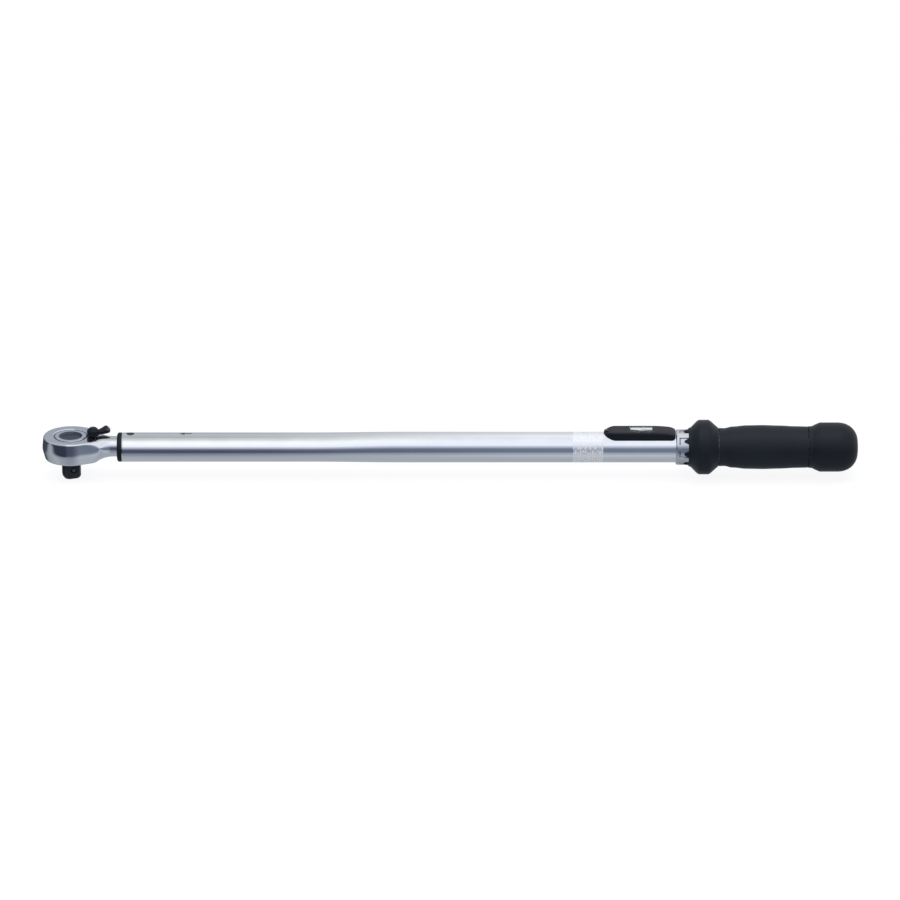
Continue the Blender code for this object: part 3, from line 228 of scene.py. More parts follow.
def in_range(tree, value, low, high):
    """1 where the value lies between low and high, 0 elsewhere."""
    compare = {"operation": "COMPARE"}
    return add(tree, MATHS, compare, i0=value, i1=(low + high) / 2, i2=(high - low) / 2)


def product(tree, *values):
    """The product of several masks."""
    total = values[0]
    for value in values[1:]:
        total = add(tree, MATHS, MULTIPLY, i0=total, i1=value)
    return total


panel_start, panel_end = 394.0, 417.5
row_pitch, bar_pitch = 3.0, 1.9
arrow_start, arrow_neck, arrow_end = 85.0, 89.5, 95.0
arrow_half, shaft_half = 2.6, 0.9
tube_round = 12.1


def tube_etching(tree, place, polished):
    """A matt etched panel of plain bars, and a dark-filled arrow that shows the working direction."""
    parts = add(tree, "ShaderNodeSeparateXYZ", Vector=place)
    x, y = parts.outputs["X"], parts.outputs["Y"]
    up = add(tree, MATHS, {"operation": "SUBTRACT"}, i0=parts.outputs["Z"], i1=axis_z * mm)
    turn = add(tree, MATHS, ARCTAN2, i0=up, i1=y)
    row = add(tree, MATHS, MULTIPLY, i0=turn, i1=tube_round / row_pitch)
    bar = add(tree, MATHS, MULTIPLY, i0=x, i1=1 / (bar_pitch * mm))
    row_part, bar_part = [add(tree, MATHS, FRACT, i0=value) for value in (row, bar)]
    row_number, bar_number = [add(tree, MATHS, FLOOR, i0=value) for value in (row, bar)]
    cell = add(tree, "ShaderNodeCombineXYZ", X=row_number, Y=bar_number)
    chance = add(tree, "ShaderNodeTexWhiteNoise", Vector=cell)
    chosen = in_range(tree, chance.outputs["Value"], 0.0, 0.72)
    bars = product(tree, in_range(tree, row_part, 0.12, 0.82), in_range(tree, bar_part, 0.1, 0.78), chosen)
    panel = in_range(tree, x, panel_start * mm, panel_end * mm)
    matt = add(tree, MATHS, MAXIMUM, i0=product(tree, panel, 0.45), i1=product(tree, panel, bars))
    grain = add(tree, NOISE, Vector=place, Scale=2500.0, Detail=2.0)
    frost_bump = add(tree, BUMP, Strength=0.3, Distance=0.00003, Height=grain)
    frost = add(tree, PRINCIPLED, Base_Color=hex_colour("C6C8CD"), Metallic=0.35, Roughness=0.55,
                Normal=frost_bump)
    with_panel = add(tree, MIX_SHADER, Fac=matt, i1=polished, i2=frost)
    away = add(tree, MATHS, {"operation": "ABSOLUTE"}, i0=y)
    tip, neck, tail = [place * mm for place in (arrow_start, arrow_neck, arrow_end)]
    width = add(tree, MAP_RANGE, i0=x, i1=tip, i2=neck, i3=0.0, i4=arrow_half * mm)
    head = product(tree, in_range(tree, x, tip, neck),
                   add(tree, MATHS, LESS_THAN, i0=away, i1=width))
    shaft = product(tree, in_range(tree, x, neck, tail),
                    add(tree, MATHS, LESS_THAN, i0=away, i1=shaft_half * mm))
    arrow = add(tree, MATHS, MAXIMUM, i0=head, i1=shaft)
    on_top = add(tree, MATHS, {"operation": "GREATER_THAN"}, i0=up, i1=0.0)
    arrow = product(tree, arrow, on_top)
    ink = add(tree, PRINCIPLED, Base_Color=hex_colour("3A3D42"), Metallic=0.2, Roughness=0.55,
              Normal=frost_bump)
    return add(tree, MIX_SHADER, Fac=arrow, i1=with_panel, i2=ink)


def mesh_object(name, points, faces):
    """An object from points in millimetres, with its doubles merged and its faces turned outwards."""
    mesh = bpy.data.meshes.new(name)
    mesh.from_pydata([Vector(p) * mm for p in points], [], faces)
    work = bmesh.new()
    work.from_mesh(mesh)
    bmesh.ops.remove_doubles(work, verts=work.verts, dist=1e-7)
    bmesh.ops.dissolve_degenerate(work, edges=work.edges, dist=1e-7)
    bmesh.ops.recalc_face_normals(work, faces=work.faces)
    if work.calc_volume(signed=True) < 0:
        bmesh.ops.reverse_faces(work, faces=work.faces)
    work.to_mesh(mesh)
    work.free()
    return placed(name, mesh)


def loft(name, rings, closed=False):
    """A skin over rings of points; its two ends are filled unless the rings close on themselves."""
    around = len(rings[0])
    points = [p for ring in rings for p in ring]
    faces = []
    for level in range(len(rings) if closed else len(rings) - 1):
        low = level * around
        high = (level + 1) % len(rings) * around
        for i in range(around):
            j = (i + 1) % around
            faces.append((low + i, low + j, high + j, high + i))
    if not closed:
        faces.append(tuple(range(around)))
        faces.append(tuple(range(len(points) - around, len(points))))
    return mesh_object(name, points, faces)


def softened(corners, radius, steps=5):
    """A line of (place, radius) corners with each inner corner rounded and a guard point either side."""
    line = [corners[0]]
    for i in range(1, len(corners) - 1):
        here = Vector(corners[i])
        before, after = Vector(corners[i - 1]) - here, Vector(corners[i + 1]) - here
        run_in, run_out = before.length, after.length
        before.normalize()
        after.normalize()
        opening = before.angle(after, math.pi)
        if opening > math.radians(176):
            line.append(tuple(here))
            continue
        reach = min(radius / math.tan(opening / 2), 0.42 * run_in, 0.42 * run_out)
        bend = reach * math.tan(opening / 2)
        centre = here + (before + after).normalized() * bend / math.sin(opening / 2)
        start, end = here + before * reach - centre, here + after * reach - centre
        sweep = start.angle_signed(end, 0.0)
        line.append(tuple(here + before * reach * 1.15))
        for step in range(steps + 1):
            turned_start = Matrix.Rotation(-sweep * step / steps, 2) @ start
            line.append(tuple(centre + turned_start))
        line.append(tuple(here + after * reach * 1.15))
    line.append(corners[-1])
    return line


def turned(name, line, around=96, upright_at=None, height=axis_z, closed=False):
    """A solid of revolution from (place, radius) points, about the tube's line or an upright axis."""
    rings = []
    for place, radius in line:
        ring = []
        for i in range(around):
            a = 2 * math.pi * i / around
            across, over = radius * math.cos(a), radius * math.sin(a)
            if upright_at is None:
                ring.append((place, across, height + over))
            else:
                ring.append((upright_at + across, over, height + place))
        rings.append(ring)
    return loft(name, rings, closed)


def bore(name, low, high, radius, x=0.0, around=48):
    """A plain upright cylinder that cuts a hole."""
    return turned(name, [(low, radius), (high, radius)], around, upright_at=x)


def shaped(base, others, operation):
    """Joins or cuts solids for good and removes the tools."""
    for other in others:
        change = base.modifiers.new("shape", "BOOLEAN")
        change.operation = operation
        change.object = other
        change.solver = "EXACT"
    settled(base)
    for other in others:
        bpy.data.objects.remove(other)
    return base


def settled(piece):
    """Turns a piece's modifiers into plain mesh."""
    graph = bpy.context.evaluated_depsgraph_get()
    graph.update()
    mesh = bpy.data.meshes.new_from_object(piece.evaluated_get(graph))
    piece.modifiers.clear()
    piece.data = mesh
    mesh.name = piece.name
    return piece


def smoothed(piece, angle=32):
    """Smooth shading with edges sharper than the angle kept crisp."""
    piece.data.shade_smooth()
    piece.data.set_sharp_from_angle(angle=math.radians(angle))
    return piece


def fitted(piece, material, body, nodes):
    """Gives a finished piece its material and its body, and hides the CAD nodes that it stands for."""
    piece.data.materials.clear()
    piece.data.materials.append(material)
    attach(piece, body)
    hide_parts(*nodes)
    return piece


def along_tube(node):
    """A CAD node's start and end along the tube."""
    return [c.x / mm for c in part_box(node)]


def above_axis(node):
    """A CAD node's lowest and highest places, measured from the tube's line."""
    return [c.z / mm - axis_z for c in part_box(node)]


tube_start, tube_end = along_tube("tube")
tube_wall = 1.6
tube_points = 160
oval_half = (12.9, 11.35)
oval_end = tube_start + 147.7
round_start = oval_end + 71.0
pivot_x = sum(c.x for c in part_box("pivot_pin")) / 2 / mm
window_screw_x = sum(c.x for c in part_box("housing_screw")) / 2 / mm


def tube_half(x):
    """Half width and half height of the tube's outside at x."""
    share = min(1.0, max(0.0, (x - oval_end) / (round_start - oval_end)))
    ease = share * share * (3 - 2 * share)
    return [low + (tube_round - low) * ease for low in oval_half]


def tube_ring(x, inset):
    """One ring of the tube's skin, inset from its outside."""
    wide, tall = tube_half(x)
    turns = [2 * math.pi * i / tube_points for i in range(tube_points)]
    return [(x, (wide - inset) * math.cos(a), axis_z + (tall - inset) * math.sin(a)) for a in turns]


lip = 0.5
outside = [(tube_start, lip), (tube_start + 0.2 * lip, 0.35 * lip), (tube_start + lip, 0.0)]
outside += [(pivot_x - 5, 0.0), (pivot_x + 5, 0.0), (oval_end - 30, 0.0)]
outside += [(oval_end + (round_start - oval_end) * i / 16, 0.0) for i in range(17)]
outside += [(round_start + 60, 0.0), (window_screw_x - 3, 0.0), (window_screw_x + 3, 0.0), (470.0, 0.0),
            (tube_end - 12, 0.0), (tube_end - 2, 0.0), (tube_end - lip, 0.0), (tube_end, lip)]
inside = [(tube_end, tube_wall), (round_start, tube_wall)]
inside += [(round_start + (oval_end - round_start) * i / 6, tube_wall) for i in range(1, 7)]
inside += [(tube_start, tube_wall)]
tube = loft("chromed_tube", [tube_ring(x, inset) for x, inset in outside + inside], closed=True)
pin_hole = bore("pin_hole", -14.0, 14.0, 3.1, pivot_x)
screw_hole = bore("screw_hole", 8.0, 14.0, 1.5, window_screw_x, 24)
shaped(tube, [pin_hole, screw_hole], "DIFFERENCE")
smoothed(tube)
tube_chrome = chrome_plate("bright_chrome_on_drawn_tube", etched=tube_etching)
fitted(tube, tube_chrome, "tube", ["tube"])


# --- Ratchet head ---
# A forging in one piece with its neck and the shank that runs inside the tube. It is ground, polished
# and chromed; the ratchet's pocket opens upwards under the cover.
head_low, head_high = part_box("head_forging")
drive_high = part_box("drive_gear")[1]
cover_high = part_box("cover_disc")[1]
lever_x = 17.8
head_r = -head_low.x / mm
head_top = head_high.z / mm - axis_z
head_bottom = axis_z - head_low.z / mm
# The head's side as (inset, rise) from its widest outline and its underside.
side_form = [(3.0, 0.0), (2.5, 0.03), (2.1, 0.16), (1.85, 0.5), (1.65, 1.2), (1.35, 2.4), (0.95, 4.0),
             (0.6, 5.4), (0.28, 6.7), (0.08, 7.7), (0.0, 8.6), (0.1, 10.2), (0.3, 12.2), (0.55, 14.4),
             (0.75, 16.0), (0.9, 17.0), (1.1, 17.5), (1.45, 17.82), (1.9, 17.9)]
neck_r = 8.1
neck_rise = 0.7
flank_angle = 66.0
shoulder_x, hub_end, neck_start_x, neck_end = 18.0, 11.0, 33.5, 43.0
# The shank as (place, half width, half height).
shank = [(46.0, 7.8, 7.0), (51.0, 7.8, 6.5), (61.0, 5.8, 6.5), (head_high.x / mm, 5.0, 6.5)]


def curve_points(a, b, c, d, count):
    """Points along a cubic curve, without its first point."""
    found = []
    for i in range(1, count + 1):
        t = i / count
        weights = ((1 - t) ** 3, 3 * t * (1 - t) ** 2, 3 * t * t * (1 - t), t ** 3)
        found.append(sum((w * Vector(p) for w, p in zip(weights, (a, b, c, d))), Vector((0, 0))))
    return found


def head_stations():
    """Points down one side of the head's outline, each with its outward direction."""
    count = 44
    places = []
    for i in range(count + 1):
        a = math.radians(180 + (flank_angle - 180) * i / count)
        places.append(Vector((head_r * math.cos(a), head_r * math.sin(a))))
    leave = math.radians(flank_angle)
    run = Vector((math.sin(leave), -math.cos(leave)))
    shoulder = Vector((23.6, 13.4))
    fall = Vector((0.656, -0.755))
    neck_start = Vector((neck_start_x, neck_r))
    places += curve_points(places[-1], places[-1] + run * 6, shoulder - fall * 3.5, shoulder, 14)
    places += curve_points(shoulder, shoulder + fall * 4, neck_start - Vector((4.2, 0)), neck_start, 10)
    places += [Vector((x, neck_r)) for x in (36.0, 39.0, neck_end)]
    found = []
    for i, place in enumerate(places):
        ahead = places[min(i + 1, len(places) - 1)] - places[max(i - 1, 0)]
        out = Vector((-ahead.y, ahead.x)).normalized() if 0 < i else Vector((-1, 0))
        found.append((place, out))
    return found


def head_ring(place, out):
    """One closed ring round the head, from its underside up one side, over the top and down the other."""
    eases = []
    for start in (shoulder_x, hub_end):
        share = min(1.0, max(0.0, (place.x - start) / (neck_start_x - start)))
        eases.append(share * share * (3 - 2 * share))
    side = []
    for i, (inset, rise) in enumerate(side_form):
        ease = eases[0] + (eases[1] - eases[0]) * i / (len(side_form) - 1)
        turn = math.pi * i / (len(side_form) - 1) - math.pi / 2
        round_inset, round_rise = neck_r * (1 - math.cos(turn)), neck_rise + neck_r * math.sin(turn)
        inset += (round_inset - inset) * ease
        spot = place - out * inset
        side.append((spot.x, spot.y, -head_bottom + rise + (round_rise + head_bottom - rise) * ease))
    under, over = side[0], side[-1]
    profile = [(under[0], under[1] * i / 6, under[2]) for i in range(6)] + side
    profile += [(over[0], over[1] * (1 - i / 6), over[2]) for i in range(1, 7)]
    mirrored = [(x, -y, z) for x, y, z in reversed(profile[1:-1])]
    return [(x, y, axis_z + z) for x, y, z in profile + mirrored]


def shank_ring(x, half_width, half_height):
    """A rounded oblong ring with as many points as a ring of the head."""
    count = len(head_ring(*head_stations()[-1]))
    ring = []
    for i in range(count):
        a = 2 * math.pi * i / count - math.pi / 2
        reach = (abs(math.cos(a)) ** 5 + abs(math.sin(a)) ** 5) ** (-1 / 5)
        ring.append((x, half_width * reach * math.cos(a), axis_z + half_height * reach * math.sin(a)))
    return ring


head = loft("ratchet_head", [head_ring(*s) for s in head_stations()] + [shank_ring(*s) for s in shank])
pocket_r = cover_high.x / mm + 0.3
pocket_floor = -head_bottom + 2.2
journal_r = 9.2
groove_low = above_axis("cover_disc")[1] - 1.4
pocket_line = [(pocket_floor, pocket_r), (groove_low, pocket_r), (groove_low, pocket_r + 0.8),
               (groove_low + 1.1, pocket_r + 0.8), (groove_low + 1.1, pocket_r), (head_top - 0.5, pocket_r),
               (head_top + 0.5, pocket_r + 1.0)]
pocket = turned("pocket", pocket_line, upright_at=0.0)
journal_bore = bore("journal_bore", -head_bottom - 1, pocket_floor + 1, journal_r + 0.3, around=96)
pawl_low, pawl_high = above_axis("pawl")
pawl_room = bore("pawl_room", pawl_low - 0.3, pawl_high + 0.3, 10.0, lever_x - 9.65, 64)
spindle_bore = bore("spindle_bore", pawl_low - 1.2, head_top + 2, 3.0, lever_x)
head_pin_bore = bore("head_pin_bore", -12.0, 12.0, 3.3, pivot_x)
shaped(head, [pocket, journal_bore, pawl_room, spindle_bore, head_pin_bore], "DIFFERENCE")
smoothed(head, 28)
head_chrome = chrome_plate("bright_chrome_on_forging", colour="DCDFE4", roughness=0.1)
fitted(head, head_chrome, "head", ["head_forging"])


# --- Cover and its spring ring ---
# A turned steel disc closes the pocket. Its rim is chromed like the head and its dished middle is a darker
# grey-blue metal; a split ring in a groove holds it down.
def dark_dished_chrome(name, dish_r):
    """Chrome on the rim; in the dish a darker grey-blue metal with a fine turned grain, its tone varied at
    random.
    """
    made, tree, place = new_material(name)
    parts = add(tree, "ShaderNodeSeparateXYZ", Vector=place)
    flat = add(tree, "ShaderNodeCombineXYZ", X=parts.outputs["X"], Y=parts.outputs["Y"])
    away = add(tree, "ShaderNodeVectorMath", {"operation": "LENGTH"}, i0=flat).outputs["Value"]
    in_dish = add(tree, MAP_RANGE, SMOOTH_STEP, i0=away, i1=(dish_r + 0.25) * mm,
                  i2=(dish_r - 0.25) * mm)
    rings = add(tree, MATHS, {"operation": "SINE"},
                i0=add(tree, MATHS, MULTIPLY, i0=away, i1=2 * math.pi / (0.35 * mm)))
    smear = add(tree, NOISE, Vector=place, Scale=180.0, Detail=3.0)
    bump = add(tree, BUMP, Strength=0.12, Distance=0.00001, Height=rings)
    rough = add(tree, MAP_RANGE, i0=smear, i1=0.3, i2=0.7, i3=0.24, i4=0.4)
    rim = add(tree, PRINCIPLED, Base_Color=hex_colour("EBEDF0"), Metallic=1.0, Roughness=0.13,
              Normal=bump)
    # The dish is set darker than the rim, in grey-blue tones that vary at random.
    shade = add(tree, MIX, COLOUR_MIX, Factor=smear, i6=hex_colour("3A4350"), i7=hex_colour("5A6573"))
    dish = add(tree, PRINCIPLED, Base_Color=shade.outputs[2], Metallic=1.0,
               Roughness=rough, Normal=bump)
    mixed = add(tree, MIX_SHADER, Fac=in_dish, i1=rim, i2=dish)
    add(tree, OUTPUT, Surface=mixed)
    return made


cover_r = cover_high.x / mm
cover_under, cover_top = above_axis("cover_disc")
dish_r = 9.3
dish_depth = 1.3
ring_seat = cover_top - 1.7
dish_floor = cover_top - dish_depth
crown_r = cover_r - 1.15
cover_line = softened([(dish_floor, 0.0), (dish_floor, dish_r - 1.8), (cover_top, dish_r),
                       (cover_top, crown_r), (ring_seat, crown_r), (ring_seat, cover_r),
                       (cover_under, cover_r), (cover_under, 0.0)], 0.35)
cover = turned("pocket_cover", cover_line, upright_at=0.0)
smoothed(cover, 40)
cover_finish = dark_dished_chrome("chrome_rim_with_black_dish", dish_r)
fitted(cover, cover_finish, "head", ["cover_disc"])


def steel(name, colour="A9ABB0", roughness=0.3, grain=(60.0, 60.0, 60.0)):
    """Ground or turned steel under a thin film of oil; the grain's scale is marks per metre each way."""
    made, tree, place = new_material(name)
    run = add(tree, "ShaderNodeMapping", Vector=place, Scale=grain)
    marks = add(tree, NOISE, Vector=run, Scale=10.0, Detail=4.0)
    film = add(tree, NOISE, Vector=place, Scale=90.0, Detail=2.0)
    rough = add(tree, MAP_RANGE, i0=film, i1=0.3, i2=0.7, i3=roughness - 0.08,
                i4=roughness + 0.1)
    dark = hex_colour(colour)
    light = (*[min(1.0, c * 1.5) for c in dark[:3]], 1.0)
    shade = add(tree, MIX, COLOUR_MIX, Factor=marks, i6=dark, i7=light)
    bump = add(tree, BUMP, Strength=0.25, Distance=0.00002, Height=marks)
    metal = add(tree, PRINCIPLED, Base_Color=shade.outputs[2], Metallic=1.0,
                Roughness=rough, Normal=bump)
    add(tree, OUTPUT, Surface=metal)
    return made


ground_steel = steel("ground_and_oiled_steel")
black_oxide = steel("black_oxide_on_hardened_steel", "3B3C40", 0.36)
ring_low, ring_high = above_axis("retaining_ring")
ring_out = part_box("retaining_ring")[1].y / mm
split = math.radians(14)
ring_rows = []
for i in range(81):
    a = split + (2 * math.pi - 2 * split) * i / 80
    section = [(ring_out - 1.4, ring_low), (ring_out - 0.1, ring_low), (ring_out, ring_low + 0.1),
               (ring_out, ring_high - 0.1), (ring_out - 0.1, ring_high), (ring_out - 1.4, ring_high)]
    ring_rows.append([(r * math.cos(a), r * math.sin(a), axis_z + z) for r, z in section])
spring_ring = loft("cover_spring_ring", ring_rows)
smoothed(spring_ring)
fitted(spring_ring, ground_steel, "head", ["retaining_ring"])


# --- Reversing lever ---
# A blackened thumb lever with a domed hub and a raised tail, in one piece with the spindle that
# reaches down to the pawl.
def moulded_black(name, colour="14181C", roughness=0.42, grain=1400.0, depth=0.00004, wear=0.0):
    """A near-black moulding, paint or ink: a fine even grain, a slight sheen and, if asked, worn edges."""
    made, tree, place = new_material(name)
    fine = add(tree, NOISE, Vector=place, Scale=grain, Detail=3.0)
    broad = add(tree, NOISE, Vector=place, Scale=70.0, Detail=3.0)
    dark = hex_colour(colour)
    shade = add(tree, MIX, COLOUR_MIX, Factor=broad, i6=dark, i7=(*[c * 1.5 for c in dark[:3]], 1.0))
    rough = add(tree, MAP_RANGE, i0=broad, i1=0.3, i2=0.7, i3=roughness - 0.05,
                i4=roughness + 0.08)
    bump = add(tree, BUMP, Strength=0.35, Distance=depth, Height=fine)
    body = add(tree, PRINCIPLED, Base_Color=shade.outputs[2], Roughness=rough, IOR=1.5,
               Specular_IOR_Level=0.16, Normal=bump)
    if wear:
        edge = add(tree, "ShaderNodeNewGeometry").outputs["Pointiness"]
        rub = add(tree, MAP_RANGE, i0=edge, i1=0.52, i2=0.6, i3=0.0, i4=wear)
        worn = add(tree, PRINCIPLED, Base_Color=hex_colour("6A6E74"), Roughness=0.35, IOR=1.5)
        body = add(tree, MIX_SHADER, Fac=rub, i1=body, i2=worn)
    add(tree, OUTPUT, Surface=body)
    return made


spindle_low, lever_top = above_axis("reverse_lever")
lever_seat = head_top + 0.3
hub_r, spindle_r = 4.8, 2.7
hub_line = softened([(lever_top, 0.0), (lever_top, 2.6), (lever_top - 2.2, hub_r), (lever_seat, hub_r),
                     (lever_seat, spindle_r), (spindle_low, spindle_r), (spindle_low, 0.0)], 1.6, 8)
hub = turned("reversing_lever", hub_line, 64, upright_at=lever_x)
tail_turn = math.radians(25)
tail_form = [(1.0, 2.6, 0.2, 3.4), (4.6, 2.8, 0.2, 3.4), (6.6, 3.1, 0.2, 3.8), (8.8, 3.7, 0.3, 4.5),
             (11.0, 4.4, 0.6, 5.3), (12.4, 4.5, 1.0, 5.5), (13.0, 4.0, 1.7, 5.0), (13.3, 3.0, 2.4, 4.4)]


def tail_ring(reach, half, low, high):
    """A rounded ring across the lever's tail, at a distance from the pivot."""
    ring = []
    for i in range(40):
        a = 2 * math.pi * i / 40
        swell = (abs(math.cos(a)) ** 3.4 + abs(math.sin(a)) ** 3.4) ** (-1 / 3.4)
        side = half * swell * math.cos(a)
        z = (low + high) / 2 + (high - low) / 2 * swell * math.sin(a)
        ring.append((lever_x + reach * math.cos(tail_turn) - side * math.sin(tail_turn),
                     reach * math.sin(tail_turn) + side * math.cos(tail_turn), axis_z + lever_seat + z))
    return ring


tail = loft("lever_tail", [tail_ring(*form) for form in tail_form])
shaped(hub, [tail], "UNION")
smoothed(hub, 40)
lever_black = moulded_black("black_lever_paint", "0B0E14", 0.34, 900.0, 0.00003, wear=0.5)
fitted(hub, lever_black, "lever", ["reverse_lever"])


# --- Square drive and ratchet gear ---
# One piece of hardened steel, blackened: the toothed gear inside the head, the round journal under it
# and the square that takes the socket, with a sprung ball in one flat.
def edged(piece, width):
    """Rounds a piece's sharp edges."""
    bevel = piece.modifiers.new("edge", "BEVEL")
    bevel.width = width * mm
    bevel.segments = 3
    bevel.limit_method = "ANGLE"
    bevel.angle_limit = math.radians(50)
    return settled(piece)


def prism(name, outline, low, high, edge=0.0):
    """An upright bar of the given outline, its edges rounded where an edge width is given."""
    rings = [[(x, y, axis_z + z) for x, y in outline] for z in (low, high)]
    made = loft(name, rings)
    return edged(made, edge) if edge else made


gear_teeth, gear_r, tooth_depth = 36, drive_high.x / mm, 1.1
root_r = gear_r - tooth_depth
gear_line = []
for tooth in range(gear_teeth):
    for part, radius in ((0.0, root_r), (0.46, gear_r), (0.62, gear_r), (0.94, root_r)):
        a = 2 * math.pi * (tooth + part) / gear_teeth
        gear_line.append((radius * math.cos(a), radius * math.sin(a)))
gear_low = pocket_floor + 0.3
gear_high = above_axis("drive_gear")[1]
drive = prism("square_drive", gear_line, gear_low, gear_high)
journal_end = -head_bottom - 0.6
journal_line = softened([(gear_low + 1, 0.0), (gear_low + 1, journal_r), (journal_end, journal_r),
                         (journal_end, 0.0)], 0.4)
journal = turned("journal", journal_line, upright_at=0.0)
square_half, square_corner, drive_turn = 6.35, 1.6, 20.0
square_line = []
for quarter in range(4):
    turn = Matrix.Rotation(math.radians(90 * quarter + drive_turn), 2)
    for corner in ((square_half, square_half - square_corner), (square_half - square_corner, square_half)):
        square_line.append(tuple(turn @ Vector(corner)))
square = prism("square", square_line, -axis_z, -head_bottom, 0.7)
lead_line = [(-axis_z - 1, 5.6), (-axis_z + 0.3, 6.9), (-axis_z + 2.8, 8.5), (0.0, 9.5)]
lead_in = turned("lead_in", lead_line, upright_at=0.0)
shaped(square, [lead_in], "INTERSECT")
ball_r = 2.0
ball_centre = sum(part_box("socket_ball"), Vector()) / 2
ball_side = math.atan2(ball_centre.y, ball_centre.x)
ball_bore = turned("ball_bore", [(2.2, 2.25), (6.1, 2.25), (7.4, 2.6)], 32, height=0.0)
ball_bore.data.transform(Matrix.Translation((0, 0, ball_centre.z)) @ Matrix.Rotation(ball_side, 4, "Z"))
shaped(drive, [journal, square], "UNION")
shaped(drive, [ball_bore], "DIFFERENCE")
smoothed(drive, 35)
fitted(drive, black_oxide, "drive", ["drive_gear"])

ball = plain_solid("socket_holding_ball", "icosphere", subdivisions=4, radius=ball_r * mm,
                   matrix=Matrix.Translation(ball_centre))
smoothed(ball, 180)
ball_steel = steel("dark_polished_ball", "55585E", 0.2)
fitted(ball, ball_steel, "socket_ball", ["socket_ball"])


# --- Nose ring and pivot pin ---
# A black rubber ring closes the gap between the tube's mouth and the neck. The pin through both walls
# of the tube is blackened steel: the head tilts about it when the wrench clicks.
nose_low, nose_high = along_tube("nose_ring")
nose_rings = []
for x, grow in ((nose_low, -9.0), (nose_low, -1.6), (nose_low + 0.15, -1.1), (nose_low + 0.6, -0.35),
                (nose_low + 1.3, 0.0), (nose_high - 0.3, 0.0), (nose_high, -0.25), (nose_high, -9.0)):
    nose_rings.append(tube_ring(tube_start, -grow))
    nose_rings[-1] = [(x, p[1], p[2]) for p in nose_rings[-1]]
neck_bore = neck_r + neck_rise + 1.3
turns = [2 * math.pi * i / tube_points for i in range(tube_points)]
nose_rings[0] = [(nose_low, neck_bore * math.cos(a), axis_z + neck_bore * math.sin(a)) for a in turns]
nose_rings[-1] = [(nose_high, p[1], p[2]) for p in nose_rings[0]]
nose_ring = loft("nose_ring", nose_rings, closed=True)
smoothed(nose_ring, 40)
rubber_black = moulded_black("black_seal_rubber", "0D1017", 0.5, 1800.0, 0.00003)
fitted(nose_ring, rubber_black, "tube", ["nose_ring"])

pin_low, pin_high = above_axis("pivot_pin")
pin_line = softened([(pin_low, 0.0), (pin_low, 3.0), (pin_high, 3.0), (pin_high, 0.0)], 0.4)
pivot = turned("head_pivot_pin", pin_line, 48, upright_at=pivot_x)
smoothed(pivot, 40)
fitted(pivot, black_oxide, "tube", ["pivot_pin"])


# --- Window housing and lens ---
# Moulded black nylon, screwed on the tube over the scale. A clear acrylic lens is let into its flat
# top; the inside is hollow so that the scale can slide under the lens.
house_low, house_high = [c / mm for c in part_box("window_housing")]
lens_low, lens_high = [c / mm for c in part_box("window_lens")]
carrier_low, carrier_high = [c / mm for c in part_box("scale_carrier")]
house_half, house_nose = house_high.y, 9.5


def housing_ring(x, half, top, edge):
    """A ring across the housing: straight sides, a flat top and rounded shoulders."""
    ring = [(x, -half, axis_z + 5.0)]
    for side in (-1, 1):
        for i in range(9):
            a = math.pi / 2 * i / 8 if side < 0 else math.pi / 2 * (1 - i / 8)
            ring.append((x, side * (half - edge + edge * math.cos(a)), top - edge + edge * math.sin(a)))
    return ring + [(x, half, axis_z + 5.0)]


house_spots = []
for i in range(13):
    a = math.radians(5 + 85 * i / 12)
    x = house_low.x + 1.0 + house_nose * (1 - math.cos(a))
    rise = min(1.0, (x - house_low.x - 1.0) / 8.5)
    house_spots.append((x, house_half * math.sin(a), house_high.z - 2.1 * (1 - rise) ** 1.7))
heel = house_high.x - 15.9
house_spots += [(x, house_half, house_high.z) for x in (430.0, 440.0, heel - 4)]
for share in (0.0, 0.15, 0.3, 0.5, 0.7, 0.85, 1.0):
    house_spots.append((heel + 11.5 * share, house_half, house_high.z - 0.85 * share ** 1.6))
for share in (0.35, 0.7, 0.88, 0.97, 1.0):
    x = heel + 11.5 + 4.4 * share
    corner = 2.0 * max(0.0, (x - house_high.x + 2) / 2) ** 2
    house_spots.append((x, house_half - corner, house_high.z - 0.85 - 1.35 * share))
housing = loft("window_housing_shell",
               [housing_ring(x, half, top, min(1.5, half * 0.6)) for x, half, top in house_spots])


def box_tool(name, low, high, edge=0.0):
    """A box from its lowest to its highest corner, heights from the table, with its edges rounded."""
    outline = [(low[0], low[1]), (high[0], low[1]), (high[0], high[1]), (low[0], high[1])]
    return prism(name, outline, low[2] - axis_z, high[2] - axis_z, edge)


saddle = turned("saddle", [(house_low.x - 3, 12.4), (house_high.x + 3, 12.4)], 128)
hollow = box_tool("hollow", (422.6, -5.9, axis_z + 6), (470.6, 5.9, carrier_high.z + 0.3))
recess = box_tool("recess", (lens_low.x - 0.2, lens_low.y - 0.2, lens_low.z - 0.15),
                  (lens_high.x + 0.2, lens_high.y + 0.2, house_high.z + 2))
opening = box_tool("opening", (lens_low.x + 1, lens_low.y + 1, axis_z + 8),
                   (lens_high.x - 1, lens_high.y - 1, house_high.z + 2))
screw_bore = turned("screw_bore", [(9.0, 1.5), (13.5, 1.5), (13.5, 2.4), (16.0, 2.4)], 48, upright_at=420.5)
shaped(housing, [saddle, hollow, recess, opening, screw_bore], "DIFFERENCE")
smoothed(housing, 35)
nylon_black = moulded_black("black_glass_filled_nylon", "0C0F16", 0.4, 1300.0, 0.00005)
fitted(housing, nylon_black, "tube", ["window_housing"])

